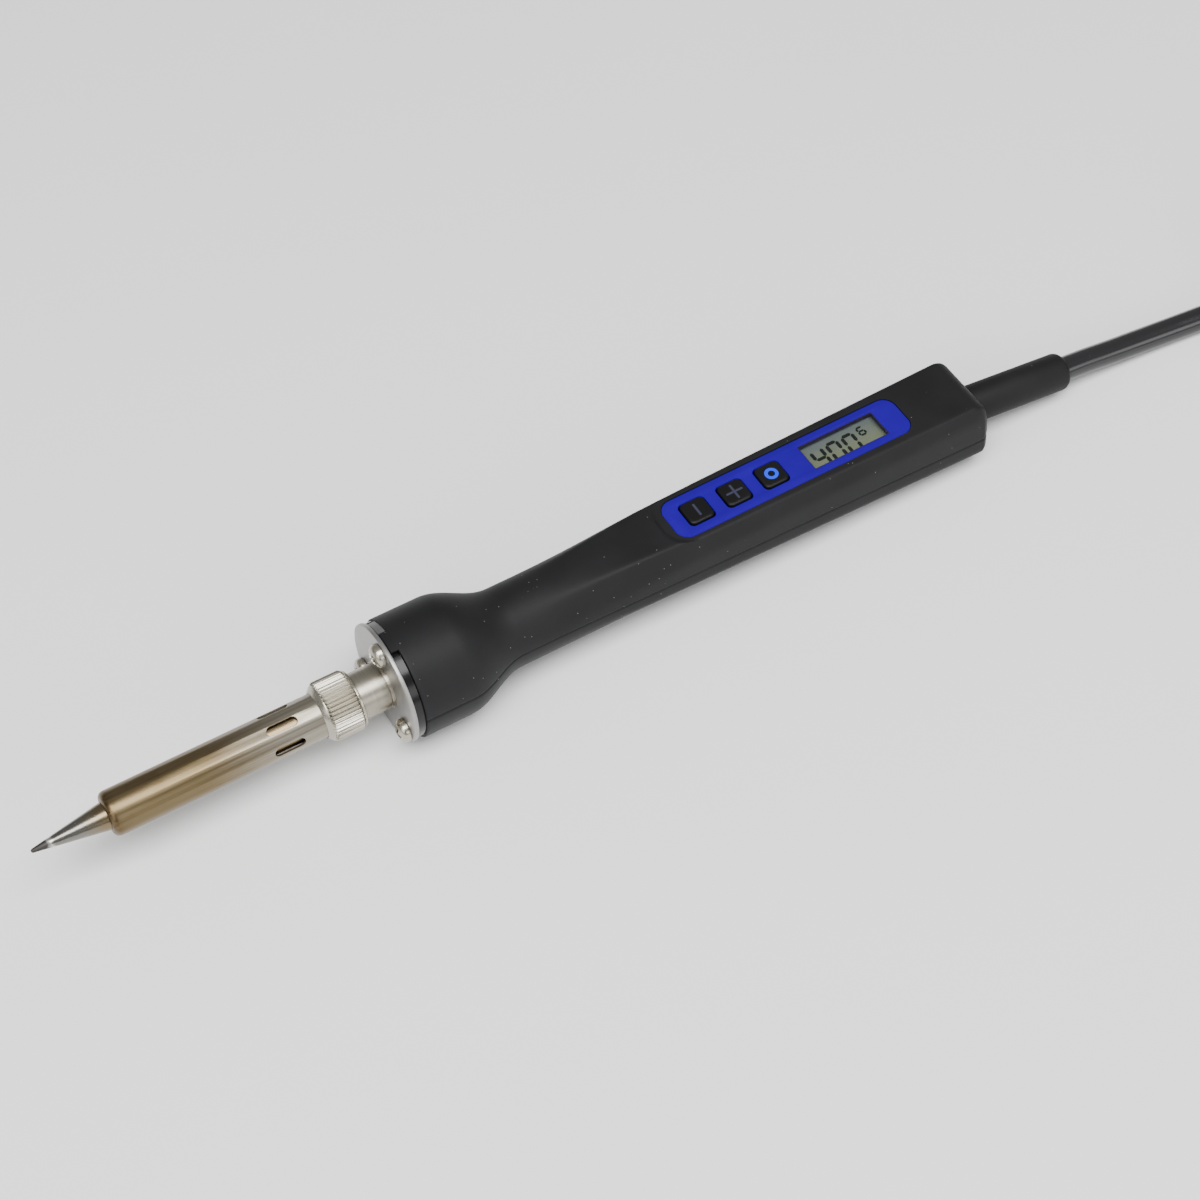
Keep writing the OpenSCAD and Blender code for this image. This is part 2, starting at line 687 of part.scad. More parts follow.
module plug_body() {
    nose_len = 12;
    color([0.07, 0.07, 0.07]) translate(plug_at) difference() {
        union() {
            translate([nose_len, 0, 0]) linear_extrude(plug_t) polygon([
                [0, -plug_size[1] * 0.3], [8, -plug_size[1] / 2], [plug_size[0] - nose_len - 10,
                -plug_size[1] / 2], [plug_size[0] - nose_len, -plug_size[1] * 0.22],
                [plug_size[0] - nose_len, plug_size[1] * 0.22],
                [plug_size[0] - nose_len - 10, plug_size[1] / 2], [8, plug_size[1] / 2],
                [0, plug_size[1] * 0.3]]);
            translate([0, 0, 11]) rotate([0, 90, 0]) cylinder(r1 = cord_d / 2 + 1.6, r2 = 6.5,
                h = nose_len + 2);
        }
        translate([carrier_mid[0] - carrier_size[1] / 2 - run_gap,
            carrier_mid[1] - carrier_size[0] / 2 - run_gap, plug_t - carrier_depth - run_gap])
            cube([carrier_size[1] + 2 * run_gap, carrier_size[0] + 2 * run_gap, carrier_depth + 1]);
    }
}

// A flat pin standing up from the plug's face
module plug_pin(x, y, size) {
    color("khaki") translate(plug_at + [x - size[0] / 2, y - size[1] / 2, pin_root]) cube(size);
}

module fuse_carrier() {
    color([0.5, 0.1, 0.1]) translate(plug_at + [carrier_mid[0], carrier_mid[1],
        plug_t - carrier_depth]) difference() {
        translate([-carrier_size[1] / 2, -carrier_size[0] / 2, 0])
            cube([carrier_size[1], carrier_size[0], carrier_depth]);
        translate([0, -13, 1.5 + 3.2]) rotate([-90, 0, 0])
            translate([0, 0, 0.4]) cylinder(r = 3.2 + seat_gap, h = 25.2);
    }
}

module plug_fuse() {
    color("wheat") translate(plug_at + [carrier_mid[0], carrier_mid[1] - 12.5,
        plug_t - carrier_depth + 1.5 + 3.2]) rotate([-90, 0, 0]) cylinder(r = 3.15, h = 25);
}

tip();
sleeve();
collar_nut();
barrel_tube();
heater_rod();
heater_base();
flange_plate();
flange_screw(0);  // flange_screw_1
flange_screw(1);  // flange_screw_2
flange_screw(2);  // flange_screw_3
front_insert();
upper_shell();
lower_shell();
case_screw(0);  // case_screw_1
case_screw(1);  // case_screw_2
case_screw(2);  // case_screw_3
panel();
display_lens();
display_glass();
display_holder();
button(0);  // minus_button
button(1);  // plus_button
button(2);  // set_button
button_switch(0);  // minus_switch
button_switch(1);  // plus_switch
button_switch(2);  // set_switch
circuit_board();
board_screw(0);  // board_screw_1
board_screw(1);  // board_screw_2
controller_chip();
triac();
capacitor();
terminal_block();
inner_lead("white", -3.6, -3);  // heater_lead_1
inner_lead("white", 3.6, -3);  // heater_lead_2
inner_lead("gold", 3.6, -5.2);  // earth_lead
lead_end();
cord_clamp();
clamp_screw(0);  // clamp_screw_1
clamp_screw(1);  // clamp_screw_2
strain_relief();
lead(concat([boot_end], lead_points));  // cord
lead(tail_points);  // cord_tail
cord_hank();
cord_tie();
plug_body();
plug_pin(42, 0, [8, 4, 22.7]);  // plug_earth_pin
plug_pin(19.8, -11.1, [4, 6.3, 17.7]);  // plug_line_pin
plug_pin(19.8, 11.1, [4, 6.3, 17.7]);  // plug_neutral_pin
fuse_carrier();
plug_fuse();
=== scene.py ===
import json
import math

import bmesh
import bpy
from mathutils import Matrix, Vector


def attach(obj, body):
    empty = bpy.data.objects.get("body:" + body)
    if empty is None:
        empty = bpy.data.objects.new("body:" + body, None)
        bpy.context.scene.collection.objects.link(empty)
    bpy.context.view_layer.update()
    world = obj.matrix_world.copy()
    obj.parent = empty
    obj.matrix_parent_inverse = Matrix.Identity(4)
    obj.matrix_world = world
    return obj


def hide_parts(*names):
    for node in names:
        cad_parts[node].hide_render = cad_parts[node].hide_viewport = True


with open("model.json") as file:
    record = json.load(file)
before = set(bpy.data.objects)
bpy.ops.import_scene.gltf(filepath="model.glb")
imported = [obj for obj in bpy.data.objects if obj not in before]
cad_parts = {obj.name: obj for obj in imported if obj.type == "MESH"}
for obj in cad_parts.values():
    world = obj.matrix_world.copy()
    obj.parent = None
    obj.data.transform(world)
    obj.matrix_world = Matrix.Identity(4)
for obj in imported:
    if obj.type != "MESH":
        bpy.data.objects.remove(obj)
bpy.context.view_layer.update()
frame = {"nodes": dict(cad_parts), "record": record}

scene = bpy.context.scene
nodes = frame["nodes"]

# ---------- sizes, in millimetres ----------
# The iron lies along X, from its tip to its cord. Its flange plate's front face is at x = 0 and
# the middle of its heating barrel is on the X axis.

TIP_FRONT, SLEEVE_FRONT = -80.2, -63.9
NUT_FRONT, NUT_BACK = -15.9, -7.1
SLEEVE_R, SLEEVE_WALL, BARREL_R, THREAD_R, NUT_R = 5.0, 0.5, 5.3, 5.85, 6.8
TIP_POINT_R, TIP_BASE_R, TIP_SHANK_R = 0.4, 3.1, 3.9
PLATE_R, PLATE_T = 13.7, 1.0
SCREW_PITCH_R, SCREW_ANGLES = 10.6, (90, 210, 330)
HANDLE_LEN, BULGE_R, BULGE_DROP, BULGE_LEN = 151.2, 13.8, 0.25, 14.3
NECK_R, NECK_X, REAR_HALF, BELLY = 9.23, 29, 10.6, 9.2
TOP_H, TOP_RISE, WALL, JOINT_Z = 7.52, math.radians(0.98), 1.8, 0.8
SHELL_FRONT, REAR_SLOPE, REAR_TOP = 2.9, 4.2, 5.8
REAR_X, REAR_WALL_X, REAR_CORNER = HANDLE_LEN - REAR_SLOPE, HANDLE_LEN - 3, 1.8
PANEL_X, PANEL_LEN, PANEL_W, PANEL_ROUND = 101.7, 61.8, 11.3, 3.2
PANEL_SINK, PANEL_T = 0.15, 1.0
BUTTON_W, BUTTON_X = 6.2, (-23.8, -14.05, -4.3)
DISPLAY_X, DISPLAY_LEN, DISPLAY_W, GLASS_TOP = 15, 20, 7.4, -2.05
FLAT_FRONT = PANEL_X - PANEL_LEN / 2 - 2.5
BOOT_R, BOOT_LEN, BOOT_HOLE_R = 4.525, 28.5, 4.425
CORD_R = 3.0

# How the iron lies on the bench: on the rear edge of its bulge and on its belly near the cord
TILT = math.atan((BULGE_R + BULGE_DROP - BELLY) / (REAR_X - BULGE_LEN))
LIFT = BULGE_LEN * math.sin(TILT) + (BULGE_R + BULGE_DROP) * math.cos(TILT)
MIDDLE = (TIP_FRONT * math.cos(TILT) - TIP_POINT_R * math.sin(TILT)
          + HANDLE_LEN * math.cos(TILT) + REAR_TOP * math.sin(TILT)) / 2
MM = Matrix.Scale(0.001, 4)
LAY = MM @ Matrix.Translation((-MIDDLE, 0, LIFT)) @ Matrix.Rotation(TILT, 4, "Y")


def top_z(x):
    return TOP_H + x * math.tan(TOP_RISE)


PANEL = LAY @ Matrix.Translation((PANEL_X, 0, top_z(PANEL_X))) @ Matrix.Rotation(-TOP_RISE, 4, "Y")
BOOT = (LAY @ Matrix.Translation((HANDLE_LEN - 1.5, 0, JOINT_Z))
        @ Matrix.Rotation(math.radians(-1.43), 4, "Z")
        @ Matrix.Rotation(math.radians(5.43), 4, "Y"))


def mix(a, b, t):
    return a + (b - a) * t


def ease(t):
    return (1 - math.cos(math.pi * max(0.0, min(1.0, t)))) / 2


# ---------- camera and light ----------

def aim(obj, target, roll=0.0):
    look = (Vector(target) - obj.location).to_track_quat("-Z", "Y").to_matrix()
    obj.rotation_euler = (look @ Matrix.Rotation(roll, 3, "Z")).to_euler()


camera = bpy.data.objects.new("camera", bpy.data.cameras.new("camera"))
scene.collection.objects.link(camera)
camera.data.lens = 71.445
camera.data.sensor_width = 36
camera.data.clip_start = 0.01
# Placed and aimed in the iron's own frame, in millimetres, and then laid on the bench with it
camera.location = Vector((-112.03, -270.76, 412.25))
aim(camera, (53.24, 0, -6.84), math.radians(0.4))
turn = LAY.to_quaternion() @ camera.rotation_euler.to_quaternion()
camera.matrix_world = Matrix.LocRotScale(LAY @ camera.location, turn, None)
scene.camera = camera


def softbox(name, at, target, size, power):
    lamp = bpy.data.lights.new(name, "AREA")
    lamp.shape = "RECTANGLE"
    lamp.size, lamp.size_y = size
    lamp.energy = power
    obj = bpy.data.objects.new(name, lamp)
    scene.collection.objects.link(obj)
    obj.location = at
    aim(obj, target)


softbox("overhead_softbox", (-0.05, -0.30, 1.0), (0.0, 0.0, 0.0), (1.2, 0.5), 19)
softbox("left_softbox", (-0.75, -0.35, 0.55), (-0.02, 0.0, 0.0), (0.7, 0.7), 4)
softbox("near_softbox", (0.35, -0.85, 0.35), (0.05, 0.0, 0.0), (0.9, 0.35), 3)

world = bpy.data.worlds.new("studio")
world.use_nodes = True
world.node_tree.nodes["Background"].inputs["Color"].default_value = (1, 1, 1, 1)
world.node_tree.nodes["Background"].inputs["Strength"].default_value = 0.42
scene.world = world


# ---------- finishes ----------

class Value:
    """A number that changes over a surface. Python's operators on it add Math nodes."""

    def __init__(self, finish, socket):
        self.finish, self.socket = finish, socket

    def maths(self, operation, *values):
        return self.finish.add("ShaderNodeMath", {"operation": operation}, dict(enumerate(values)))

    def __add__(self, other):
        return self.maths("ADD", self, other)

    def __rsub__(self, other):
        return self.maths("SUBTRACT", other, self)

    def __mul__(self, other):
        return self.maths("MULTIPLY", self, other)

    def __lt__(self, other):
        return self.maths("LESS_THAN", self, other)

    def ramp(self, low, high):
        """0 below low, 1 above high, and smooth between them."""
        return self.finish.add("ShaderNodeMapRange", {"interpolation_type": "SMOOTHSTEP"},
                               {0: self, 1: low, 2: high})


class Finish:
    """A material in the making: one Principled shader and what feeds it."""

    def __init__(self, name, colour, roughness, **constants):
        self.material = bpy.data.materials.new(name)
        self.material.use_nodes = True
        self.tree = self.material.node_tree
        self.shader = self.tree.nodes["Principled BSDF"]
        self.feed(self.shader.inputs["Base Color"], (*colour, 1))
        self.feed(self.shader.inputs["Roughness"], roughness)
        for key, value in constants.items():
            socket = key.replace("_", " ").title().replace("Ior", "IOR")
            self.feed(self.shader.inputs[socket], value)

    def feed(self, socket, value):
        if isinstance(value, Value):
            self.tree.links.new(value.socket, socket)
        else:
            socket.default_value = value

    def add(self, kind, settings=None, inputs=None, output=0):
        node = self.tree.nodes.new(kind)
        for key, value in (settings or {}).items():
            setattr(node, key, value)
        for key, value in (inputs or {}).items():
            self.feed(node.inputs[key], value)
        return Value(self, node.outputs[output])

    def place(self, stretch=(1, 1, 1)):
        """Where a point is on the iron at rest, in millimetres times stretch."""
        row = self.add("ShaderNodeTexCoord", output=3)
        turn = Matrix.Rotation(-TILT, 3, "Y")
        iron = self.add("ShaderNodeMapping", {}, {
            "Vector": row, "Location": turn @ Vector((MIDDLE, 0, -LIFT)),
            "Rotation": (0, -TILT, 0), "Scale": (1000, 1000, 1000)})
        return self.add("ShaderNodeVectorMath", {"operation": "MULTIPLY"}, {0: iron, 1: stretch})

    def along(self, axis=0):
        return self.add("ShaderNodeSeparateXYZ", {}, {0: self.place()}, output=axis)

    def noise(self, scale, detail, stretch=(1, 1, 1), rough=0.5):
        return self.add("ShaderNodeTexNoise", {}, {
            "Vector": self.place(stretch), "Scale": scale, "Detail": detail, "Roughness": rough})

    def specks(self, scale, size, share):
        """1 on small round specks, which a share of the cells has."""
        cells = {"Vector": self.place(), "Scale": scale}
        near = self.add("ShaderNodeTexVoronoi", {}, cells)
        cell = self.add("ShaderNodeTexVoronoi", {}, cells, output=1)
        lot = self.add("ShaderNodeSeparateColor", {}, {0: cell})
        return (near < size) * (lot < share)

    def blend(self, factor, first, second):
        """A colour between two colours, which are links or (r, g, b)."""
        pair = [c if isinstance(c, Value) else (*c, 1) for c in (first, second)]
        return self.add("ShaderNodeMix", {"data_type": "RGBA"},
                        {0: factor, 6: pair[0], 7: pair[1]}, output=2)

    def colour(self, link):
        self.feed(self.shader.inputs["Base Color"], link)
        return self

    def rough(self, link):
        self.feed(self.shader.inputs["Roughness"], link)

    def bump(self, height, distance, strength):
        """Raises the surface by up to distance, in metres, where height is 1."""
        normal = self.add("ShaderNodeBump", {}, {
            "Height": height, "Distance": distance, "Strength": strength})
        self.feed(self.shader.inputs["Normal"], normal)
        return self


def soft_touch(name, colour, roughness, dust=0.6):
    """Matte moulded plastic with a fine grain and a few specks of dust."""
    f = Finish(name, colour, roughness, specular_ior_level=0.19)
    cloud = f.noise(0.09, 3)
    tone = f.blend(cloud.ramp(0.3, 0.7), [c * 0.86 for c in colour], [c * 1.14 for c in colour])
    dusty = f.specks(0.55, 0.055, dust)
    f.colour(f.blend(dusty * 0.5, tone, (0.32, 0.31, 0.29)))
    f.rough(cloud * 0.1 + (roughness - 0.05))
    grain = f.noise(3.2, 2)
    return f.bump(grain + f.noise(0.5, 1) * 0.6, 0.00003, 0.55).material


def moulded(name, colour, roughness, grain=0.25, **constants):
    """Smoother moulded plastic or rubber."""
    f = Finish(name, colour, roughness, **constants)
    cloud = f.noise(0.12, 2)
    f.colour(f.blend(cloud, [c * 0.85 for c in colour], [c * 1.15 for c in colour]))
    f.rough(cloud * 0.08 + (roughness - 0.04))
    return f.bump(f.noise(2.2, 3), 0.00002, grain).material


def brushed(name, colour, roughness, stretch, streak=0.12):
    """Metal with fine tool marks, drawn out along stretch's small number."""
    f = Finish(name, colour, roughness, metallic=1.0)
    marks = f.noise(1.4, 4, stretch, 0.65)
    cloud = f.noise(0.16, 3)
    f.colour(f.blend(marks.ramp(0.25, 0.75), [c * (1 - streak) for c in colour],
                     [min(1, c * (1 + streak)) for c in colour]))
    f.rough(marks * 0.16 + cloud * 0.1 + (roughness - 0.13))
    return f.bump(marks, 0.00002, 0.4).material


def sleeve_finish():
    """Drawn stainless tube, tanned by heat towards the tip and darkest at its rounded edge."""
    pale, tan, brown = (0.25, 0.225, 0.175), (0.135, 0.10, 0.052), (0.075, 0.046, 0.020)
    f = Finish("heat_tinted_steel", tan, 0.3, metallic=1.0)
    streaks = f.noise(1.0, 4, (0.035, 2.2, 2.2), 0.7)
    x = f.along()
    heat = (x + streaks * 9).ramp(-40, -14)
    body = f.blend(heat, tan, pale)
    tinted = f.blend((x + streaks * 2.5).ramp(-63.4, -59.5), brown, body)
    stains = f.noise(0.28, 4, (0.5, 1, 1)).ramp(0.52, 0.78)
    stained = f.blend(stains * (1 - heat) * 0.45, tinted, brown)
    worn = f.blend(heat, (0.235, 0.18, 0.10), (0.46, 0.43, 0.37))
    f.colour(f.blend(streaks.ramp(0.3, 0.72) * 0.4, stained, worn))
    f.rough(streaks * 0.2 + 0.24)
    return f.bump(streaks, 0.00002, 0.5).material


def tip_finish():
    """Plated iron, with its tinned end gone dark and a bright band just behind it."""
    f = Finish("plated_tip", (0.5, 0.49, 0.47), 0.22, metallic=1.0)
    x = f.along() + f.noise(0.9, 3) * 1.6
    marks = f.noise(1.2, 4, (0.06, 2.5, 2.5), 0.65)
    plated = f.blend(marks, (0.12, 0.115, 0.10), (0.26, 0.25, 0.225))
    warm = f.blend(x.ramp(-70, -63), plated, (0.19, 0.145, 0.085))
    # a bright band just behind the dark end of the tip
    bright_band = f.blend(x.ramp(-75.3, -74.2), (0.55, 0.53, 0.50), warm)
    f.colour(f.blend(x.ramp(-76.3, -75.2), (0.07, 0.065, 0.062), bright_band))
    f.rough(0.55 - x.ramp(-76, -75) * 0.33 + marks * 0.08)
    return f.bump(f.noise(1.8, 4), 0.00004, 0.35).material


def clear_finish():
    f = Finish("clear_window", (0.03, 0.035, 0.04), 0.08, alpha=0.05, specular_ior_level=0.2)
    return f.bump(f.noise(0.08, 1), 0.00002, 0.1).material


def lcd_finish():
    """The display's grey-green glass, painted darker and bluer towards its far edge as shade of the
    window's far wall.
    """
    f = Finish("display_glass", (0.12, 0.14, 0.10), 0.35, specular_ior_level=0.15)
    across = f.along(1)
    # painted shade: the glass gets darker and bluer towards the far edge, where the window's wall shades
    # it
    tone = f.blend(across.ramp(-3, 4), (0.135, 0.155, 0.095), (0.085, 0.105, 0.105))
    return f.colour(f.blend(f.noise(0.25, 2) * 0.25, tone, (0.17, 0.185, 0.15))).material


def cord_finish():
    """Smooth shiny flex, with the faint waviness of its twisted cores."""
    f = Finish("flex", (0.010, 0.010, 0.011), 0.2, specular_ior_level=0.55)
    wave = f.noise(0.11, 2)
    f.rough(wave * 0.12 + 0.14)
    f.colour(f.blend(f.specks(0.6, 0.05, 0.2) * 0.3, (0.010, 0.010, 0.011), (0.18, 0.18, 0.17)))
    return f.bump(wave, 0.0002, 0.35).material


def woven(name, colour):
    f = Finish(name, colour, 0.85, sheen_weight=0.3)
    weft, warp = [f.add("ShaderNodeTexWave", {"bands_direction": axis},
                        {"Vector": f.place(), "Scale": 0.55}) for axis in "XY"]
    weave = weft * 0.5 + warp * 0.5
    f.colour(f.blend(weave, [c * 0.6 for c in colour], [c * 1.5 for c in colour]))
    return f.bump(weave, 0.0002, 0.7).material


def floor_finish():
    f = Finish("bench_paper", (0.86, 0.86, 0.86), 0.7)
    return f.colour(f.blend(f.noise(0.01, 2), (0.85, 0.85, 0.85), (0.87, 0.87, 0.87))).material


GRIP = soft_touch("soft_touch_black", (0.0078, 0.0078, 0.0085), 0.56)
GLOSS = moulded("gloss_black", (0.004, 0.004, 0.004), 0.2, 0.1, specular_ior_level=0.3)
TAB_GREY = moulded("tab_grey", (0.075, 0.075, 0.075), 0.4)
FASCIA = moulded("fascia_blue", (0.018, 0.0, 0.22), 0.5, 0.12, specular_ior_level=0.0)
KEY = soft_touch("key_black", (0.004, 0.004, 0.004), 0.45, 0.1)
MARK_DIM = moulded("key_mark_dim", (0.032, 0.034, 0.058), 0.5, specular_ior_level=0.1)
MARK_BLUE = moulded("key_mark_blue", (0.008, 0.045, 0.80), 0.4, specular_ior_level=0.1)
# painted shade: a dark colour for the display window's wall, standing in for the shade on it
WINDOW_WALL_SHADE = moulded("window_wall_painted_shade", (0.014, 0.008, 0.03), 0.5)
DIGIT = moulded("display_segment", (0.010, 0.012, 0.009), 0.4, specular_ior_level=0.1)
SLEEVE_STEEL = sleeve_finish()
TIP_PLATE = tip_finish()
TURNED_STEEL = brushed("turned_steel", (0.335, 0.31, 0.255), 0.34, (3, 0.12, 0.12))
NUT_STEEL = brushed("nickel_plate", (0.40, 0.375, 0.315), 0.27, (0.04, 1.6, 1.6), 0.08)
PLATE_STEEL = brushed("plate_steel", (0.34, 0.335, 0.325), 0.42, (1.2, 0.1, 1.2), 0.08)
SCREW_STEEL = brushed("screw_steel", (0.42, 0.39, 0.33), 0.26, (1, 1, 1), 0.06)
BRASS = brushed("pin_brass", (0.64, 0.47, 0.20), 0.28, (2, 2, 0.06), 0.1)
BOOT_RUBBER = soft_touch("boot_rubber", (0.008, 0.008, 0.008), 0.6, 0.3)
FLEX = cord_finish()
TIE = woven("tie_fabric", (0.025, 0.025, 0.028))
PLUG = soft_touch("plug_black", (0.013, 0.013, 0.014), 0.5, 0.15)
PIN_SLEEVE = moulded("pin_sleeve", (0.015, 0.015, 0.016), 0.45)
CARRIER = moulded("fuse_carrier_red", (0.22, 0.012, 0.012), 0.4)

SLOT_FINISHES = {
    "ceramic": moulded("ceramic", (0.72, 0.69, 0.62), 0.6),
    "screw_steel": SCREW_STEEL, "clear_window": clear_finish(), "display": lcd_finish(),
    "component_black": moulded("component_black", (0.014, 0.014, 0.015), 0.5),
    "board_green": moulded("board_green", (0.012, 0.11, 0.035), 0.35),
    "component_tan": moulded("component_tan", (0.42, 0.26, 0.06), 0.4),
    "wire_white": moulded("wire_sleeving", (0.72, 0.72, 0.69), 0.7),
    "wire_earth": moulded("wire_earth", (0.35, 0.45, 0.03), 0.45),
    "cord_rubber": FLEX, "gloss_plastic": GLOSS, "carrier_red": CARRIER, "grip_plastic": GRIP,
}


# ---------- making pieces ----------

def build(name, points, faces, place=LAY):
    """A mesh object from points in millimetres, with doubled points joined."""
    mesh = bpy.data.meshes.new(name)
    mesh.from_pydata([place @ Vector(p) for p in points], [], faces)
    bm = bmesh.new()
    bm.from_mesh(mesh)
    bmesh.ops.remove_doubles(bm, verts=bm.verts, dist=1e-7)
    bmesh.ops.recalc_face_normals(bm, faces=bm.faces)
    bm.to_mesh(mesh)
    bm.free()
    obj = bpy.data.objects.new(name, mesh)
    scene.collection.objects.link(obj)
    return obj


def settle(obj):
    """Turns what the modifiers make into the object's own mesh."""
    bpy.context.view_layer.update()
    done = bpy.data.meshes.new_from_object(obj.evaluated_get(bpy.context.evaluated_depsgraph_get()))
    obj.modifiers.clear()
    obj.data = done
    return obj


def carve(obj, *cutters):
    for cutter in cutters:
        cut = obj.modifiers.new("cut", "BOOLEAN")
        cut.solver = "EXACT"
        cut.operation = "DIFFERENCE"
        cut.object = cutter
    settle(obj)
    for cutter in cutters:
        bpy.data.objects.remove(cutter)
    return obj


def soften(obj, width, angle, segments=2):
    """Rounds the edges sharper than angle by width, in degrees and millimetres."""
    bevel = obj.modifiers.new("edges", "BEVEL")
    bevel.width = width / 1000
    bevel.segments = segments
    bevel.limit_method = "ANGLE"
    bevel.angle_limit = math.radians(angle)
    return settle(obj)


def finish_piece(obj, body, material, stands_for=(), sharp=38):
    obj.data.materials.clear()
    obj.data.materials.append(material)
    obj.data.shade_smooth()
    obj.data.set_sharp_from_angle(angle=math.radians(sharp))
    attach(obj, body)
    if stands_for:
        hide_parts(*stands_for)
    return obj


def grid(rows, closed=False):
    """Quads between rings of as many points. closed joins the last ring to the first."""
    count, width = len(rows), len(rows[0])
    faces = []
    for i in range(count if closed else count - 1):
        for k in range(width):
            a, b = (i + 1) % count, (k + 1) % width
            faces.append([i * width + k, i * width + b, a * width + b, a * width + k])
    return faces


def flat(rows):
    return [point for row in rows for point in row]


def stack(name, rows, place):
    """A solid drawn through rings of as many points, with its two ends filled."""
    n = len(rows[0])
    last = (len(rows) - 1) * n
    faces = grid(rows) + [list(range(n))[::-1], list(range(last, last + n))]
    return build(name, flat(rows), faces, place)


def turned(name, profile, sides=120, radius=None, place=LAY):
    """A closed profile of (x, r) turned about X. radius(x, r, angle) may change a radius."""
    rows = []
    for k in range(sides):
        angle = 2 * math.pi * k / sides
        row = []
        for x, r in profile:
            reach = radius(x, r, angle) if radius else r
            row.append((x, reach * math.cos(angle), reach * math.sin(angle)))
        rows.append(row)
    return build(name, flat(rows), grid(rows, closed=True), place)


def corner(x, r, size, start, end, steps):
    """Points of a rounded corner in a profile, about (x, r), from start to end in degrees."""
    return [(x + size * math.cos(math.radians(mix(start, end, i / steps))),
             r + size * math.sin(math.radians(mix(start, end, i / steps)))) for i in range(steps + 1)]


def rounded(length, width, r, steps=8):
    """Outline of a plate with rounded corners, anticlockwise."""
    outline = []
    for quarter, (i, j) in enumerate([(1, 1), (-1, 1), (-1, -1), (1, -1)]):
        for s in range(steps + 1):
            a = math.pi / 2 * (quarter + s / steps)
            outline.append((i * (length / 2 - r) + r * math.cos(a),
                            j * (width / 2 - r) + r * math.sin(a)))
    return outline


def slab(name, outline, low, high, place, middle=(0, 0)):
    """A flat piece with an upright edge, drawn as an outline between two heights."""
    rows = [[(middle[0] + x, middle[1] + y, z) for x, y in outline] for z in (low, high)]
    return stack(name, rows, place)


def join(first, *others):
    """One object of several that don't touch or share a finish."""
    bm = bmesh.new()
    for obj in (first, *others):
        bm.from_mesh(obj.data)
    bm.to_mesh(first.data)
    bm.free()
    for obj in others:
        bpy.data.objects.remove(obj)
    return first


# ---------- the lead ----------

ROUTE_STEP = 3.0


def smooth_route(points):
    """A smooth line through points, as points about ROUTE_STEP apart."""
    points = [Vector(p) for p in points]
    ends = [points[0] * 2 - points[1], *points, points[-1] * 2 - points[-2]]
    line = []
    for a, b, c, d in zip(ends, ends[1:], ends[2:], ends[3:]):
        count = max(1, round((c - b).length / ROUTE_STEP))
        for i in range(count):
            t = i / count
            line.append(0.5 * (2 * b + (c - a) * t + (2 * a - 5 * b + 4 * c - d) * t ** 2
                               + (3 * b - a - 3 * c + d) * t ** 3))
    return line + [points[-1]]


boot_out = BOOT @ Vector((BOOT_LEN + 1.5, 0, 0)) * 1000
LEAD = [(150, -0.9, 5.3), (158, -1.3, 4.3), (166, -1.8, 3.6), (174, -2.5, 3.2),
        (182, -3.4, 3.1), (188, -3.95, 3.1), (195, -3, 3.1), (202, -0.36, 3.2), (209, 3.25, 3.3),
        (216, 6.97, 3.5), (223, 9.8, 3.7)]
TAIL = [(327, 11, 9.8), (335, 9.9, 9.9), (343, 6.7, 10.1), (351, 2.2, 10.3),
        (359, -2.8, 10.6), (367, -7.2, 10.8), (375, -10.1, 11), (382, -11, 11)]
HANK_X, HANK_Y, HANK_HALF, FOLD_R, WAIST, CORD_D = 279, -13, 48, 24, 9.4, 2 * CORD_R
TIE_HALF = 4
LOW, HIGH = 3.8, 9.8
RUN_STEPS, FOLD_STEPS = 32, 18


def hank_run(side, outer, height, direction):
    """One pass of the hank from fold to fold: outer or inner lane, drawn in under the tie."""
    line = []
    for i in range(RUN_STEPS + 1):
        x = direction * mix(-HANK_HALF, HANK_HALF, i / RUN_STEPS)
        t = (abs(x) - TIE_HALF) / (HANK_HALF - TIE_HALF)
        lane = mix(WAIST, FOLD_R, ease(t))
        slope = ((FOLD_R - WAIST) * math.pi / 2 / (HANK_HALF - TIE_HALF)
                 * math.sin(math.pi * min(1, max(0, t))))
        if not outer:
            lane -= CORD_D * math.sqrt(1 + slope ** 2)
        line.append((HANK_X + x, HANK_Y + side * lane, height))
    return line


def hank_fold(end, radius, height):
    """Half a turn at one end of the hank. radius and height are functions of 0..1 along it."""
    line = []
    for i in range(1, FOLD_STEPS):
        t = i / FOLD_STEPS
        a = math.pi / 2 - math.pi * t if end > 0 else -math.pi / 2 - math.pi * t
        line.append((HANK_X + end * HANK_HALF + radius(t) * math.cos(a),
                     HANK_Y + radius(t) * math.sin(a), height(t)))
    return line


def hank():
    """The whole hank, clockwise from above: two lanes in each of two layers."""
    inner = FOLD_R - CORD_D

    def climb(t):
        return math.pi / 2 * ease(2 * t)

    same = [lambda t, r=r: r for r in (FOLD_R, inner)]
    low, high = (lambda t: LOW), (lambda t: HIGH)
    return (hank_run(1, True, LOW, 1) + hank_fold(1, same[0], low) + hank_run(-1, True, LOW, -1)
            + hank_fold(-1, lambda t: mix(FOLD_R, inner, ease(2 * t - 1)), low)
            + hank_run(1, False, LOW, 1) + hank_fold(1, same[1], low) + hank_run(-1, False, LOW, -1)
            + hank_fold(-1, same[1], lambda t: LOW + CORD_D * (1 - math.cos(climb(t))))
            + hank_run(1, False, HIGH, 1) + hank_fold(1, same[1], high) + hank_run(-1, False, HIGH, -1)
            + hank_fold(-1, lambda t: inner + CORD_D * math.sin(climb(t)), high)
            + hank_run(1, True, HIGH, 1))


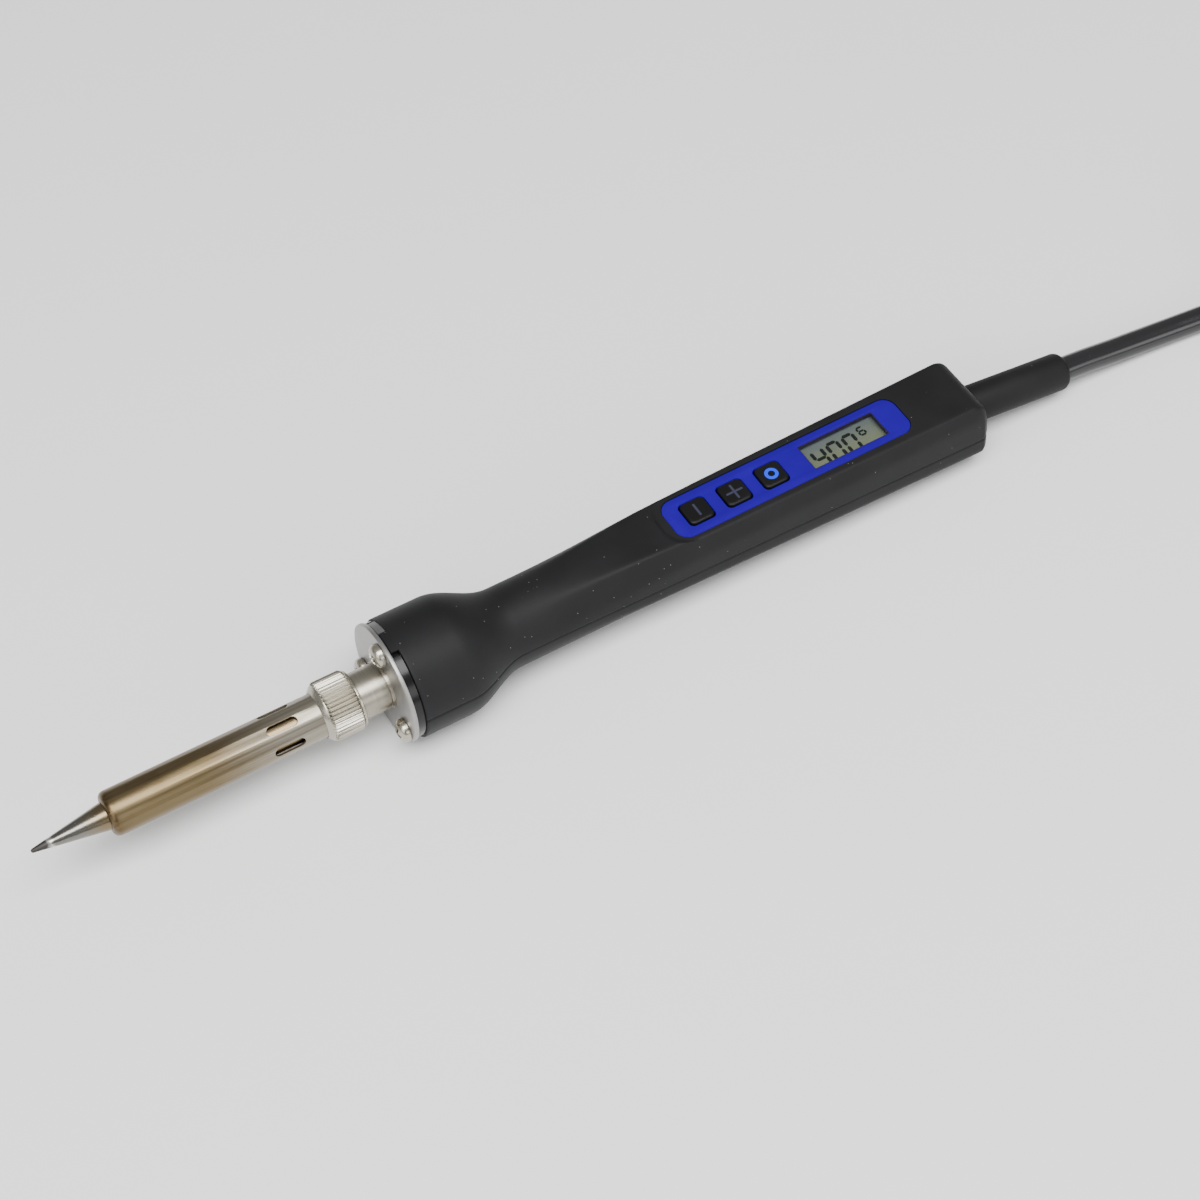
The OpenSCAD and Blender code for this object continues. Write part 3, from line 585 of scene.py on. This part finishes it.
route = smooth_route([boot_out] + LEAD) + [Vector(p) for p in hank()] + smooth_route(TAIL)[1:]
route = [p / 1000 for p in route]
line = bpy.data.curves.new("lead", "CURVE")
line.dimensions = "3D"
spline = line.splines.new("POLY")
spline.points.add(len(route) - 1)
for point, p in zip(spline.points, route):
    point.co = (*p, 1)
line.bevel_depth = CORD_R / 1000
line.bevel_resolution = 7
line.use_fill_caps = True
lead = bpy.data.objects.new("lead", line)
scene.collection.objects.link(lead)
line.materials.append(FLEX)
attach(lead, "handle")
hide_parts("cord", "cord_tail", "cord_hank")


# ---------- heating end ----------

CONE_END = SLEEVE_FRONT + 1.45
turned_tip = turned("soldering_tip", [
    (TIP_FRONT, 0), (TIP_FRONT, TIP_POINT_R - 0.2), (TIP_FRONT + 0.08, TIP_POINT_R - 0.06),
    (TIP_FRONT + 0.3, TIP_POINT_R + 0.06), (-76.1, mix(TIP_POINT_R, TIP_BASE_R, 4.1 / 16.3)),
    (SLEEVE_FRONT, TIP_BASE_R), (CONE_END, TIP_BASE_R), (CONE_END, 4.2), (CONE_END + 2, 4.2),
    (CONE_END + 2, TIP_SHANK_R), (-16.3, TIP_SHANK_R), (-16.3, 1.98), (CONE_END + 4, 1.98),
    (CONE_END + 4, 0)])
finish_piece(turned_tip, "tip", TIP_PLATE, ["tip"], sharp=25)

INNER_R = SLEEVE_R - SLEEVE_WALL
sleeve = turned("vented_sleeve", [
    (SLEEVE_FRONT + 0.1, TIP_BASE_R + 0.08), (SLEEVE_FRONT, TIP_BASE_R + 0.18),
    *corner(SLEEVE_FRONT + 1.5, SLEEVE_R - 1.5, 1.5, 180, 90, 8),
    (-62, SLEEVE_R), (-14.55, SLEEVE_R), (-14.55, THREAD_R), (-13.35, THREAD_R), (-13.35, INNER_R),
    (SLEEVE_FRONT + 1.5, INNER_R), (SLEEVE_FRONT + 1.4, TIP_BASE_R + 0.08)], sides=144)
SLOT_X, SLOT_LEN, SLOT_W = -24.4, 7.0, 2.2
slots = [slab("slot", rounded(SLOT_LEN, SLOT_W, SLOT_W / 2 - 0.001), 2.5, 7,
              LAY @ Matrix.Rotation(math.radians(angle), 4, "X"), (SLOT_X, 0))
         for angle in range(-40, 320, 60)]
carve(sleeve, join(*slots))
soften(sleeve, 0.14, 60)
finish_piece(sleeve, "sleeve", SLEEVE_STEEL, ["sleeve"], sharp=30)

TEETH, KNURL_FRONT, KNURL_BACK, KNURL_DEPTH = 44, -14.65, -7.75, 0.5


def knurl(x, r, angle):
    if not KNURL_FRONT < x < KNURL_BACK:
        return r
    return r - KNURL_DEPTH * (0.5 - 0.5 * math.cos(TEETH * angle))


nut = turned("collar_nut", [
    (NUT_FRONT, SLEEVE_R + 0.08), (NUT_FRONT, SLEEVE_R + 0.25), (NUT_FRONT + 0.15, SLEEVE_R + 0.42),
    (-15.0, 6.2), (-14.85, 6.3), (-14.7, 6.32), (-14.6, 6.4), (-14.45, 6.55), (-14.25, 6.76),
    (-14.1, NUT_R), (-10.8, NUT_R), (-8.2, NUT_R), (-8.0, 6.74), (-7.8, 6.5), (-7.7, 6.42),
    (-7.45, 6.42), (-7.2, 6.34), (NUT_BACK, 6.2), (NUT_BACK, THREAD_R + 0.08), (-14.6, THREAD_R + 0.08),
    (-14.6, SLEEVE_R + 0.08)], sides=TEETH * 8, radius=knurl)
finish_piece(nut, "collar_nut", NUT_STEEL, ["collar_nut"], sharp=32)

barrel = turned("heater_barrel", [
    (-13.3, BARREL_R - 1), (-13.3, THREAD_R), (-8.4, THREAD_R), (-8.4, BARREL_R - 0.02),
    (-8.2, BARREL_R), (-1.0, BARREL_R), (-0.92, BARREL_R - 0.16), (-0.72, BARREL_R - 0.16),
    (-0.66, BARREL_R + 0.1), (-0.55, BARREL_R + 0.13), (1.05, BARREL_R + 0.13), (1.05, 7.0), (2.25, 7.0),
    (2.25, BARREL_R - 1)])
finish_piece(barrel, "handle", TURNED_STEEL, ["barrel_tube"], sharp=30)

plate = turned("flange_plate", [
    (0, BARREL_R + 0.17), (0, PLATE_R - 0.2), (0.06, PLATE_R - 0.06), (0.2, PLATE_R),
    (PLATE_T - 0.2, PLATE_R), (PLATE_T - 0.06, PLATE_R - 0.06), (PLATE_T, PLATE_R - 0.2),
    (PLATE_T, BARREL_R + 0.17)], sides=144)
finish_piece(plate, "handle", PLATE_STEEL, ["flange_plate"], sharp=50)


def box_points(low, high):
    xs, ys, zs = zip(low, high)
    points = [(x, y, z) for x in xs for y in ys for z in zs]
    return points, [(0, 1, 3, 2), (4, 6, 7, 5), (0, 4, 5, 1), (2, 3, 7, 6), (0, 2, 6, 4), (1, 5, 7, 3)]


def pan_screw(number, angle, twist):
    """A cross-recessed pan-head screw, set in the flange plate."""
    place = (LAY @ Matrix.Rotation(math.radians(angle), 4, "X")
             @ Matrix.Translation((0, SCREW_PITCH_R, 0))
             @ Matrix.Rotation(math.radians(twist), 4, "X"))
    dome = [(-2.3 + 1.5 * (1 - math.cos(math.radians(a))) ** 1.1, 2.6 * math.sin(math.radians(a)))
            for a in range(0, 91, 10)]
    shank = [(-0.2, 2.62), (-0.02, 2.5), (-0.02, 1.45), (7.9, 1.45), (8, 1.3), (8, 0)]
    screw = turned(f"flange_screw_{number}", dome + shank, sides=64, place=place)
    arms = [build("arm", *box_points((-2.6, -a, -b), (-1.3, a, b)), place=place)
            for a, b in ((1.45, 0.36), (0.36, 1.45))]
    carve(screw, *arms)
    soften(screw, 0.07, 50)
    finish_piece(screw, "handle", SCREW_STEEL, [f"flange_screw_{number}"], sharp=35)


for number, (angle, twist) in enumerate(zip(SCREW_ANGLES, (20, 62, 38)), 1):
    pan_screw(number, angle, twist)


# ---------- handle shells ----------

CHEEK_NORMAL, SIDE_NORMAL = math.radians(32.9), math.radians(7.4)
LOOP_HALF, LOOP_ROUND = 6.9, 5.7


def between(x, stops):
    for (x0, v0), (x1, v1) in zip(stops, stops[1:]):
        if x <= x1:
            return mix(v0, v1, max(0, (x - x0) / (x1 - x0)))
    return stops[-1][1]


def to_rear(x):
    """How far the rear end has rounded off at x: a quarter round, from 0 to 1."""
    return 1 - math.sqrt(max(0.0, 1 - max(0.0, (x - REAR_X) / REAR_SLOPE) ** 2))


def to_corner(x):
    """The same for the upright corners of the rear end, which are cut at a slant."""
    return max(0.0, 1 - (HANDLE_LEN - x) / REAR_CORNER)


def round_r(x):
    return mix(BULGE_R, NECK_R, ease((x - BULGE_LEN) / (NECK_X - BULGE_LEN)))


def loop_front(y):
    """Where the flat top starts, at a distance y from the middle: its end is rounded."""
    out = min(abs(y), LOOP_HALF - 0.01) - (LOOP_HALF - LOOP_ROUND)
    return FLAT_FRONT + (LOOP_ROUND - math.sqrt(LOOP_ROUND ** 2 - out ** 2) if out > 0 else 0)


def flat_top(x, phi):
    lean = math.tan(phi) if abs(math.cos(phi)) > 1e-6 else 1e6
    y = (TOP_H + 1.2 - JOINT_Z) / lean if math.sin(phi) > 0.3 else LOOP_HALF
    sunk = ease((x - loop_front(y) + 0.5) / 1.1)
    return mix(mix(NECK_R + 0.1, top_z(min(x, REAR_X)), sunk), REAR_TOP, to_rear(x))


def flat_r(x, phi, p):
    """Reach of the flatted section from the middle of the shells' joint, in the direction phi."""
    cheek = mix(between(x, [(NECK_X, 9.17), (80, 10.75), (REAR_X, 12.25)]), 9.2, to_rear(x))
    side = (mix(between(x, [(NECK_X, NECK_R), (REAR_X, REAR_HALF)]), REAR_HALF - 1.3, to_corner(x))
            * math.cos(SIDE_NORMAL) + JOINT_Z * math.sin(SIDE_NORMAL))
    jaw = mix(between(x, [(NECK_X + 26, 9.33), (REAR_X, 10.75)]), 9.9, to_corner(x))
    half, quarter = math.pi, math.pi / 2
    flats = [(SIDE_NORMAL, side), (half - SIDE_NORMAL, side),
             (CHEEK_NORMAL, cheek), (half - CHEEK_NORMAL, cheek), (quarter, flat_top(x, phi)),
             (-CHEEK_NORMAL, jaw), (half + CHEEK_NORMAL, jaw), (-quarter, BELLY)]
    return sum((max(math.cos(phi - n), 0.001) / (d - JOINT_Z * math.sin(n))) ** p
               for n, d in flats) ** (-1 / p)


def outer_r(x, phi):
    drop = -BULGE_DROP - JOINT_Z
    ring = drop * math.sin(phi) + math.sqrt(round_r(x) ** 2 - (drop * math.cos(phi)) ** 2)
    t = ease((x - NECK_X) / (FLAT_FRONT - NECK_X))
    return mix(ring, flat_r(x, phi, mix(12, 40, t)), t) if t > 0 else ring


def span(start, end, step):
    count = max(1, round(abs(end - start) / step))
    return [mix(start, end, i / count) for i in range(count)]


# How far along the shell each ring of points is, and how much its edge is rounded off there
RINGS = ([(SHELL_FRONT, 0.22), (SHELL_FRONT + 0.07, 0.07), (SHELL_FRONT + 0.22, 0)]
         + [(x, 0) for x in span(3.6, BULGE_LEN, 2.6) + span(BULGE_LEN, NECK_X, 0.75)
            + span(NECK_X, 65, 2.4) + span(65, 76, 0.42) + span(76, REAR_X - 0.5, 6)
            + span(REAR_X - 0.5, HANDLE_LEN - 0.7, 0.35)]
         + [(HANDLE_LEN - 0.7, 0), (HANDLE_LEN - 0.3, 0.12), (HANDLE_LEN - 0.08, 0.35), (HANDLE_LEN, 0.7)])
# How deep the groove at the shells' joint is, at an angle from it in degrees
SEAM = [(0, 0.24), (0.5, 0.19), (1.2, 0.06), (2, 0)]
RIM_END, RIM_WALL = 13.2, 1.15


def shell(name, sign):
    """Half of the handle, as a thin closed shell. sign is 1 for the upper half, -1 for the lower."""
    steps = ([d for d, _ in SEAM] + span(3.5, 24, 2) + span(24, 37, 1) + span(37, 44, 1.6)
             + span(44, 54, 0.7) + span(54, 90, 2) + [90])
    phis = steps + [180 - s for s in steps[-2::-1]]
    inside_from = [i for i, (x, _) in enumerate(RINGS) if x > REAR_WALL_X][0]
    closing = len(RINGS) + 2 - inside_from
    rows = []
    for phi in phis:
        near = min(phi, 180 - phi)
        notch = between(near, SEAM)
        a = sign * math.radians(phi)

        def at(x, r):
            return (x, r * math.cos(a), JOINT_Z + r * math.sin(a))

        outside = [(x, outer_r(x, a) - cut - notch) for x, cut in RINGS]
        last = outside[-1][1]
        outside += [(HANDLE_LEN, mix(last, BOOT_HOLE_R, 0.5)), (HANDLE_LEN, BOOT_HOLE_R)]
        inside = [(x, outer_r(x, a) - (RIM_WALL if x < RIM_END else WALL))
                  for x, _ in RINGS[:inside_from]]
        wall_r = outer_r(REAR_WALL_X, a) - WALL
        inside += [(REAR_WALL_X, mix(wall_r, BOOT_HOLE_R, i / (closing - 1)))
                   for i in range(closing)]
        rows.append([at(*p) for p in outside + inside[::-1]])
    width = len(rows[0])
    faces = grid(rows)
    for end in (0, len(rows) - 1):
        for k in range(width // 2 - 1):
            a, b = end * width + k, end * width + width - 1 - k
            faces.append([a, a + 1, b - 1, b])
    return build(name, flat(rows), faces)


upper = shell("upper_shell", 1)
pocket = slab("pocket", rounded(PANEL_LEN + 0.2, PANEL_W + 0.2, PANEL_ROUND + 0.1),
              -PANEL_SINK - PANEL_T - 0.05, 4, PANEL)
key_well = slab("key_well", rounded(27.5, BUTTON_W + 1.8, 0.8), -5, 1, PANEL, (BUTTON_X[1], 0))
display_well = slab("display_well", rounded(DISPLAY_LEN + 0.6, DISPLAY_W + 0.6, 0.4), -5, 1,
                    PANEL, (DISPLAY_X, 0))
carve(upper, pocket, key_well, display_well)


def front_arc(name, start, end, low, high, front, material):
    """A block of the shell's front rim, between two angles about the bulge."""
    angles = [math.radians(a) for a in span(start, end, 2) + [end]]
    rows = [[(x, r * math.cos(a), r * math.sin(a) - BULGE_DROP) for x, r in
             ((front, low), (front, high - 0.08), (front + 0.08, high), (SHELL_FRONT + 0.35, high),
              (SHELL_FRONT + 0.35, low))] for a in angles]
    faces = grid(rows) + [list(range(5)), list(range(len(rows) * 5 - 5, len(rows) * 5))]
    finish_piece(build(name, flat(rows), faces), "handle", material)


TAB_LOW, TAB_FRONT = 12.62, 1.2
front_arc("front_tab", 77, 101, TAB_LOW, BULGE_R - 0.02, TAB_FRONT, GRIP)
front_arc("front_tab_recess", 50.5, 77, TAB_LOW, BULGE_R - 0.28, TAB_FRONT, TAB_GREY)
finish_piece(upper, "handle", GRIP, ["upper_shell"], sharp=32)

lower = shell("lower_shell", -1)
WELL_R, WELL_DEPTH, WELL_FROM = 2.2, 5.5, -11
UPWARDS = Matrix.Rotation(math.radians(-90), 4, "Y")
screw_wells = [turned("well", [(0, 0), (0, WELL_R), (WELL_DEPTH, WELL_R), (WELL_DEPTH, 0)], 40,
                      place=LAY @ Matrix.Translation((x, y, WELL_FROM)) @ UPWARDS)
               for x, y in ((NECK_X + 19, 0), (HANDLE_LEN - 11.7, -5.9), (HANDLE_LEN - 11.7, 5.9))]
carve(lower, *screw_wells)
finish_piece(lower, "handle", GRIP, ["lower_shell"], sharp=32)


# ---------- control panel ----------

TOP = -PANEL_SINK
fascia = slab("panel_fascia", rounded(PANEL_LEN, PANEL_W, PANEL_ROUND, 14), TOP - PANEL_T, TOP, PANEL)
carve(fascia, *[slab("key_hole", rounded(BUTTON_W + 0.5, BUTTON_W + 0.5, 1.2), -3, 1, PANEL, (x, 0))
                for x in BUTTON_X],
      slab("window", rounded(DISPLAY_LEN, DISPLAY_W, 0.3), -3, 1, PANEL, (DISPLAY_X, 0)))
soften(fascia, 0.1, 60)
finish_piece(fascia, "handle", FASCIA, ["panel"])


def ring_slab(name, outer, inner, low, high, place, middle=(0, 0)):
    """An upright ring between two outlines of as many points each."""
    rows = [[(middle[0] + x, middle[1] + y, z) for x, y in outline]
            for outline, z in ((outer, low), (outer, high), (inner, high), (inner, low))]
    return build(name, flat(rows), grid(rows, closed=True), place)


# A dark lining on the display window's wall, as painted shade of the recess
surround = ring_slab("window_wall_painted_shade", rounded(DISPLAY_LEN - 0.04, DISPLAY_W - 0.04, 0.3),
                     rounded(DISPLAY_LEN - 0.3, DISPLAY_W - 0.3, 0.25), -1.2, -0.24,
                     PANEL, (DISPLAY_X, 0))
finish_piece(surround, "handle", WINDOW_WALL_SHADE)

# A display figure's segments, a to g: top, upper right, lower right, bottom, lower left, upper
# left and middle
FIGURES = {"4": "bcfg", "0": "abcdef", "6": "acdefg"}


def figure(digit, x, y, width, height, stroke):
    """Outlines of a seven-segment figure with its lower left corner at (x, y)."""
    half, gap = stroke / 2, stroke * 0.16
    ends = {"a": ((0, 1), (1, 1)), "b": ((1, 1), (1, 0.5)), "c": ((1, 0.5), (1, 0)),
            "d": ((0, 0), (1, 0)), "e": ((0, 0.5), (0, 0)), "f": ((0, 1), (0, 0.5)),
            "g": ((0, 0.5), (1, 0.5))}
    bars = []
    for name in FIGURES[digit]:
        (u0, v0), (u1, v1) = ends[name]
        start = Vector((x + half + u0 * (width - stroke), y + half + v0 * (height - stroke)))
        end = Vector((x + half + u1 * (width - stroke), y + half + v1 * (height - stroke)))
        run = (end - start).normalized()
        across = Vector((-run.y, run.x))
        start, end = start + run * gap, end - run * gap
        bars.append([start, start + (run - across) * half, end - (run + across) * half, end,
                     end + (across - run) * half, start + (run + across) * half])
    return bars


bars = []
for digit, x in (("4", 7.1), ("0", 11.3), ("0", 15.5)):
    bars += figure(digit, x, -3.75, 3.45, 6.1, 0.78)
bars += figure("6", 20.0, 0.0, 1.9, 2.7, 0.44)
digits = join(*[slab("bar", [tuple(p) for p in bar], GLASS_TOP + 0.04, GLASS_TOP + 0.12, PANEL)
                for bar in bars])
digits.name = "display_figures"
finish_piece(digits, "handle", DIGIT)


# A key from below to its top: heights, and how far its sides are drawn in at each
KEY_SIDES = [(-1.8, 0.5), (-1.2, 0.5), (-1.2, 0), (-0.25, 0), (0.02, 0.03), (0.17, 0.12),
             (0.28, 0.28), (0.34, 0.5), (0.36, 0.8), (0.35, 1.5)]
KEY_ROUND = 1.25
MARK_LOW, MARK_HIGH = 0.33, 0.385


def key(name, x, marks, material):
    """A square key with soft edges, and its raised mark."""
    outlines = []
    for z, cut in KEY_SIDES:
        across = BUTTON_W - 2 * cut
        outlines.append([(x + u, v, z) for u, v in rounded(across, across, KEY_ROUND - cut * 0.4)])
    cap = stack(name, outlines, PANEL)
    finish_piece(cap, name, KEY, [name], sharp=50)
    mark = join(*marks)
    mark.name = name + "_mark"
    finish_piece(mark, name, material)


def bar_mark(x, length, width):
    return slab("mark", rounded(length, width, 0.2, 3), MARK_LOW, MARK_HIGH, PANEL, (x, 0))


minus_x, plus_x, set_x = BUTTON_X
STROKE = 0.55
key("minus_button", minus_x, [bar_mark(minus_x, STROKE, 3.5)], MARK_DIM)
key("plus_button", plus_x, [bar_mark(plus_x, STROKE, 4.2), bar_mark(plus_x - 1.2, 1.8, STROKE),
                            bar_mark(plus_x + 1.2, 1.8, STROKE)], MARK_DIM)
circle = [(math.cos(2 * math.pi * i / 40), math.sin(2 * math.pi * i / 40)) for i in range(40)]
ring = ring_slab("mark", [(u * 1.62, v * 1.62) for u, v in circle],
                 [(u * 0.8, v * 0.8) for u, v in circle], MARK_LOW, MARK_HIGH, PANEL, (set_x, 0))
key("set_button", set_x, [ring], MARK_BLUE)


# ---------- strain relief, tie and plug ----------

BOOT_END = BOOT_LEN + 1.5
boot = turned("strain_relief", [
    (-5, 0), (-5, BOOT_R + 1), (-2.5, BOOT_R + 1), (-2.5, 4.025), (2.1, 4.025), (2.1, BOOT_R - 0.35),
    (2.2, BOOT_R - 0.1), (2.45, BOOT_R), *corner(BOOT_END - 1.6, BOOT_R - 1.6, 1.6, 90, 12, 6),
    (BOOT_END, CORD_R + 0.12), (BOOT_END - 3, CORD_R + 0.05), (BOOT_END - 3, 0)], sides=96, place=BOOT)
finish_piece(boot, "handle", BOOT_RUBBER, ["strain_relief"], sharp=45)

TIE_IN, TIE_T = 12.76, 0.8
ON_HANK = (MM @ Matrix.Translation((HANK_X, HANK_Y, TIE_T + CORD_D))
           @ Matrix.Rotation(math.pi / 2, 4, "Y") @ Matrix.Rotation(math.pi / 2, 4, "Z"))
tie = ring_slab("hank_tie", rounded(2 * TIE_IN + 1.6, 2 * CORD_D + 1.6, 3.6),
                rounded(2 * TIE_IN, 2 * CORD_D, 2.8), -TIE_HALF, TIE_HALF, ON_HANK)
soften(tie, 0.2, 50)
finish_piece(tie, "handle", TIE, ["cord_tie"])
flap = slab("hank_tie_flap", rounded(7.6, 15, 1.5), 0, 0.75,
            MM @ Matrix.Translation((HANK_X, HANK_Y - 1, 13.6)))
soften(flap, 0.2, 50)
finish_piece(flap, "handle", TIE)

ON_PLUG = MM @ Matrix.Translation((382, -11, 0))
PLUG_LEN, PLUG_W, PLUG_T, NOSE = 50, 49, 22, 12
flank = [(NOSE, 0.3), (NOSE + 8, 0.5), (PLUG_LEN - 10, 0.5), (PLUG_LEN, 0.22)]
outline = [(x, -PLUG_W * w) for x, w in flank] + [(x, PLUG_W * w) for x, w in flank[::-1]]
body = slab("plug_moulding", outline, 0, PLUG_T, ON_PLUG)
soften(body, 2.0, 25, 4)
carrier_well = slab("carrier_well", rounded(8.6 + 0.16, 26 + 0.16, 0.3), PLUG_T - 8.08, PLUG_T + 1,
                    ON_PLUG, (30.5, 0))
grips = [slab("groove", rounded(1.1, 1.4, 0.5), 3, PLUG_T - 4, ON_PLUG,
              (NOSE + 11 + 2.6 * i, side * PLUG_W / 2)) for i in range(6) for side in (-1, 1)]
carve(body, carrier_well, join(*grips))
nose_profile = [(0, 0), (0, CORD_R + 1.1), (0.5, CORD_R + 1.5)]
for i in range(4):
    x, r = 1.6 + 2.6 * i, 4.75 + 0.42 * i
    nose_profile += [(x, r), (x + 0.1, r - 0.8), (x + 1.0, r - 0.7), (x + 1.1, r + 0.1)]
nose = turned("plug_nose", nose_profile + [(NOSE + 0.5, 6.4), (NOSE + 2, 6.5), (NOSE + 2, 0)], 64,
              place=ON_PLUG @ Matrix.Translation((0, 0, 11)))
finish_piece(body, "handle", PLUG, ["plug_body"])
finish_piece(nose, "handle", PLUG)


def pin(name, x, y, size, low, high, material, slot, stands_for=()):
    flat = slab(name, rounded(size[0], size[1], 0.35, 3), low, high, ON_PLUG, (x, y))
    if slot == "pin_brass":
        soften(flat, 0.5, 60, 3)
    return finish_piece(flat, "handle", material, stands_for)


PIN_X = 19.8
pins = [pin("earth_pin", 42, 0, (8, 4), PLUG_T, PLUG_T + 22.7, BRASS, "pin_brass",
            ["plug_earth_pin"])]
for name, y in (("line", -11.1), ("neutral", 11.1)):
    pins.append(pin(name + "_pin", PIN_X, y, (4, 6.3), PLUG_T + 8.5, PLUG_T + 17.7, BRASS,
                    "pin_brass", [f"plug_{name}_pin"]))
    pins.append(pin(name + "_pin_sleeve", PIN_X, y, (4.04, 6.34), PLUG_T, PLUG_T + 9, PIN_SLEEVE,
                    "plug_plastic"))

tuple(boot_out / 1000)


# ---------- what the part's own pieces are made of, and the bench ----------

CASE_SCREWS = brushed("blackened_steel", (0.02, 0.02, 0.021), 0.45, (1, 1, 1), 0.1)
for subpart in frame["record"]["subparts"]:
    if subpart["material_slot"] in SLOT_FINISHES:
        mesh = nodes[subpart["node"]].data
        mesh.materials.clear()
        blackened = subpart["node"].startswith("case_screw")
        mesh.materials.append(CASE_SCREWS if blackened else SLOT_FINISHES[subpart["material_slot"]])

HALF = 4000
floor = build("bench", [(-HALF, -HALF, 0), (HALF, -HALF, 0), (HALF, HALF, 0), (-HALF, HALF, 0)],
              [[0, 1, 2, 3]], MM)
floor.data.materials.append(floor_finish())
